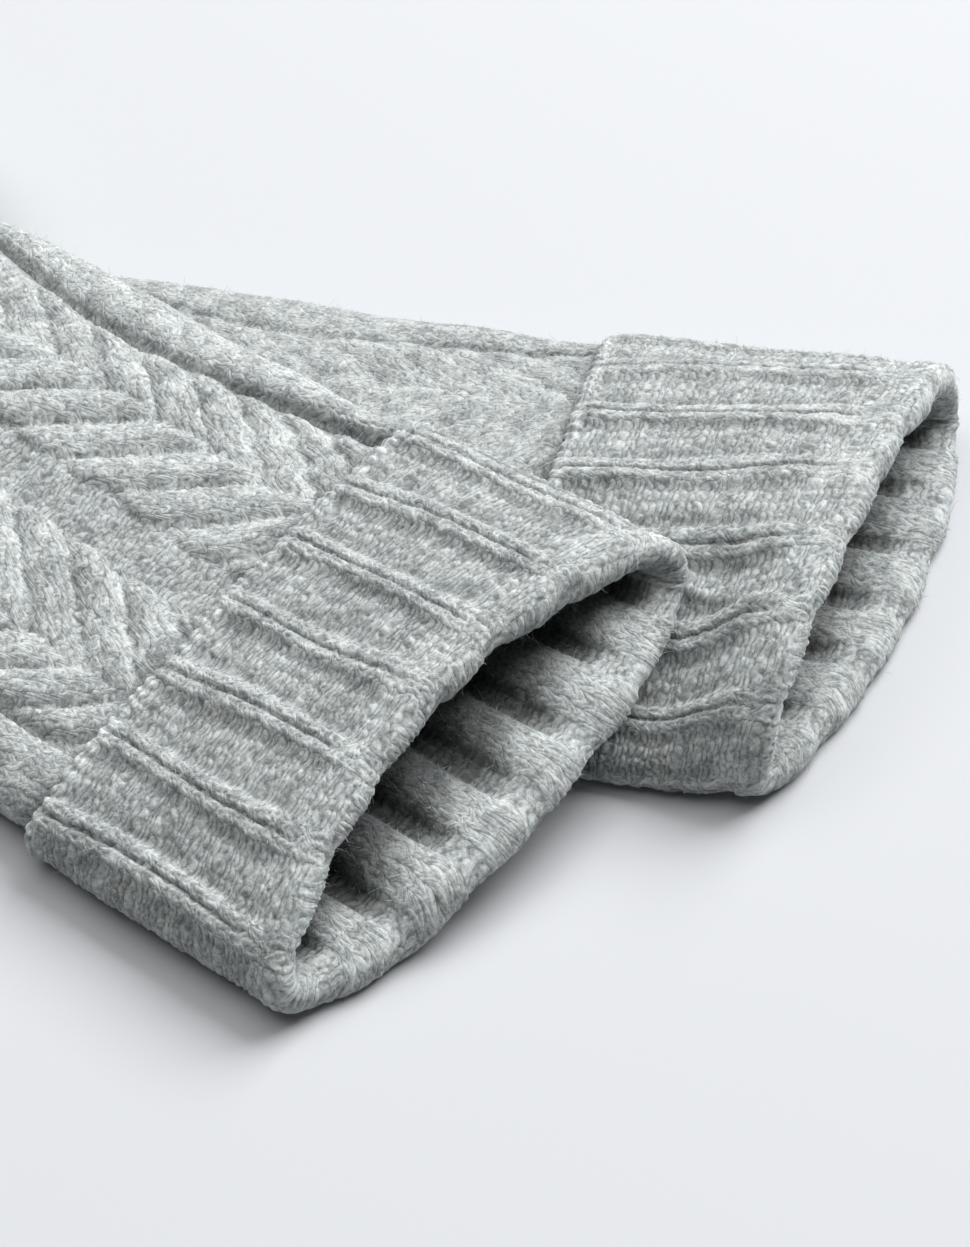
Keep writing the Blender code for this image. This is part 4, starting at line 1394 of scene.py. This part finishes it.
@dataclass(frozen=True)
class Glove:
    """One glove: its cuff, hand, thumb and fingers, and the nap that stands off them."""

    form: Form
    wool: bpy.types.Material
    fibre: bpy.types.Material
    fingers: tuple[tuple[str, float, float, float, float], ...] = (
        ("index", 31.2 * MM, 10.0 * MM, 66.0 * MM, 2.0),
        ("middle", 10.4 * MM, 10.2 * MM, 75.0 * MM, 0.6),
        ("ring", -10.4 * MM, 10.0 * MM, 68.0 * MM, -1.0),
        ("little", -30.9 * MM, 9.6 * MM, 54.0 * MM, -3.0),
    )
    cuff_cut: Sizes = (0.176, 0.093)  # all round, by both layers
    hand_cut: Sizes = (0.182, 0.135)
    tube_round: float = 2 * math.pi * 6.4 * MM

    def build(self) -> None:
        """Makes every piece of the glove."""
        on_top = self.form.side is Side.LEFT
        cuff = Cuff(self.form).surface()
        self._make("cuff", cuff)
        self._grow("cuff", cuff, Nap(16000, 31))
        hand = (Hand(self.form) if on_top else Hand.lying_under(self.form)).surface()
        self._make("hand", hand)
        self._grow("hand", hand, Nap(12000, 37))
        thumb = Thumb(self.form, "thumb", 0.0, THUMB_HALF, THUMB_LENGTH, self.form.thumb_splay)
        for tube in (*(Finger(self.form, *sizes) for sizes in self.fingers), thumb):
            self._make(tube.name, tube.surface())

    def _make(self, part: str, cloth: Knitting) -> None:
        """One knitted piece, in place of the solid of that name, which is hidden, with its count of quads
        in the log.

        Args:
            part: what the piece is of the glove.
            cloth: its surface.
        """
        name = f"{self.form.side.value}_{part}"
        piece = cloth.build(f"{name}_knit", self.wool)
        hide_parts(name)
        log.info("%s: %d quads", name, cloth.purl.size)

    def _grow(self, part: str, cloth: Knitting, nap: Nap) -> None:
        """The nap that stands off one piece."""
        name = f"{self.form.side.value}_{part}_nap"
        nap.build(name, cloth, self.fibre)
        log.info("%s: %d fibres", name, nap.count)


@dataclass(frozen=True)
class Studio:
    """A pale floor, soft light from behind and above, and the camera."""

    target: Point = (0.07774, -0.01402, 0.0)
    elevation: float = 44.13
    turn: float = 13.44
    distance: float = 0.51324
    lens: float = 100.0
    floor_colour: Colour = (0.485, 0.496, 0.51, 1.0)
    floor_half: float = 3.0
    floor_drop: float = 0.05 * MM  # so that the floor and the palms don't share a plane
    light_size: float = 1.6
    sky_strength: float = 0.1

    def build(self) -> None:
        """Makes the floor, the lights, the sky and the camera."""
        self._camera()
        self._floor()
        self._lights()
        view = bpy.context.scene.view_settings
        view.view_transform = "Standard"
        view.look = "None"

    def _link(self, name: str, data: bpy.types.ID) -> bpy.types.Object:
        """A new object in the scene."""
        thing = bpy.data.objects.new(name, data)
        bpy.context.scene.collection.objects.link(thing)
        return thing

    def _camera(self) -> None:
        """A long lens that looks down at the cuffs, as the photograph does."""
        tilt = math.radians(self.elevation)
        level = Vector((0, math.cos(tilt), -math.sin(tilt)))
        ahead = Matrix.Rotation(math.radians(self.turn), 3, "Z") @ level
        data = bpy.data.cameras.new("camera")
        data.lens = self.lens
        data.clip_start = 10 * MM
        camera = self._link("camera", data)
        camera.location = Vector(self.target) - self.distance * ahead
        camera.rotation_euler = ahead.to_track_quat("-Z", "Y").to_euler()
        bpy.context.scene.camera = camera

    def _floor(self) -> None:
        """A plain pale floor."""
        corners = np.array([[-1, -1, 0], [1, -1, 0], [1, 1, 0], [-1, 1, 0]]) * self.floor_half
        mesh = build_mesh("floor", corners - [0, 0, self.floor_drop], np.array([[0, 1, 2, 3]]))
        looks = {"Base Color": self.floor_colour, "Roughness": 0.9, "Specular IOR Level": 0.1}
        mesh.materials.append(Nodes("pale_paper").shaded(looks))
        self._link("floor", mesh)

    def _lights(self) -> None:
        """A broad window light from behind on the right, a weaker one from above, and an even sky."""
        self._area("window", (0.84, 1.31, 1.58), 84.0, (0.99, 0.99, 1.0))
        self._area("above", (-0.2, 0.05, 1.4), 16.0, (1.0, 1.0, 1.0))
        world = bpy.data.worlds.new("studio")
        world.use_nodes = True
        sky = world.node_tree.nodes["Background"]
        sky.inputs["Color"].default_value = (0.95, 0.965, 1.0, 1.0)
        sky.inputs["Strength"].default_value = self.sky_strength
        bpy.context.scene.world = world

    def _area(self, name: str, place: Point, power: float, colour: Colour) -> None:
        """A square light aimed at the gloves."""
        data = bpy.data.lights.new(name, "AREA")
        data.size = self.light_size
        data.energy = power
        data.color = colour
        light = self._link(name, data)
        light.location = place
        light.rotation_euler = (Vector(self.target) - Vector(place)).to_track_quat("-Z", "Y").to_euler()


def main() -> None:
    """Builds the studio and the two gloves."""
    logging.basicConfig(level=logging.INFO, format="%(name)s: %(message)s")
    Studio().build()
    wool = MarledWool().material()
    fibre = LooseFibre().material()
    for form in (RIGHT, LEFT):
        Glove(form, wool, fibre).build()
        log.info("%s glove is built", form.side.value)


if __name__ == "__main__":
    main()
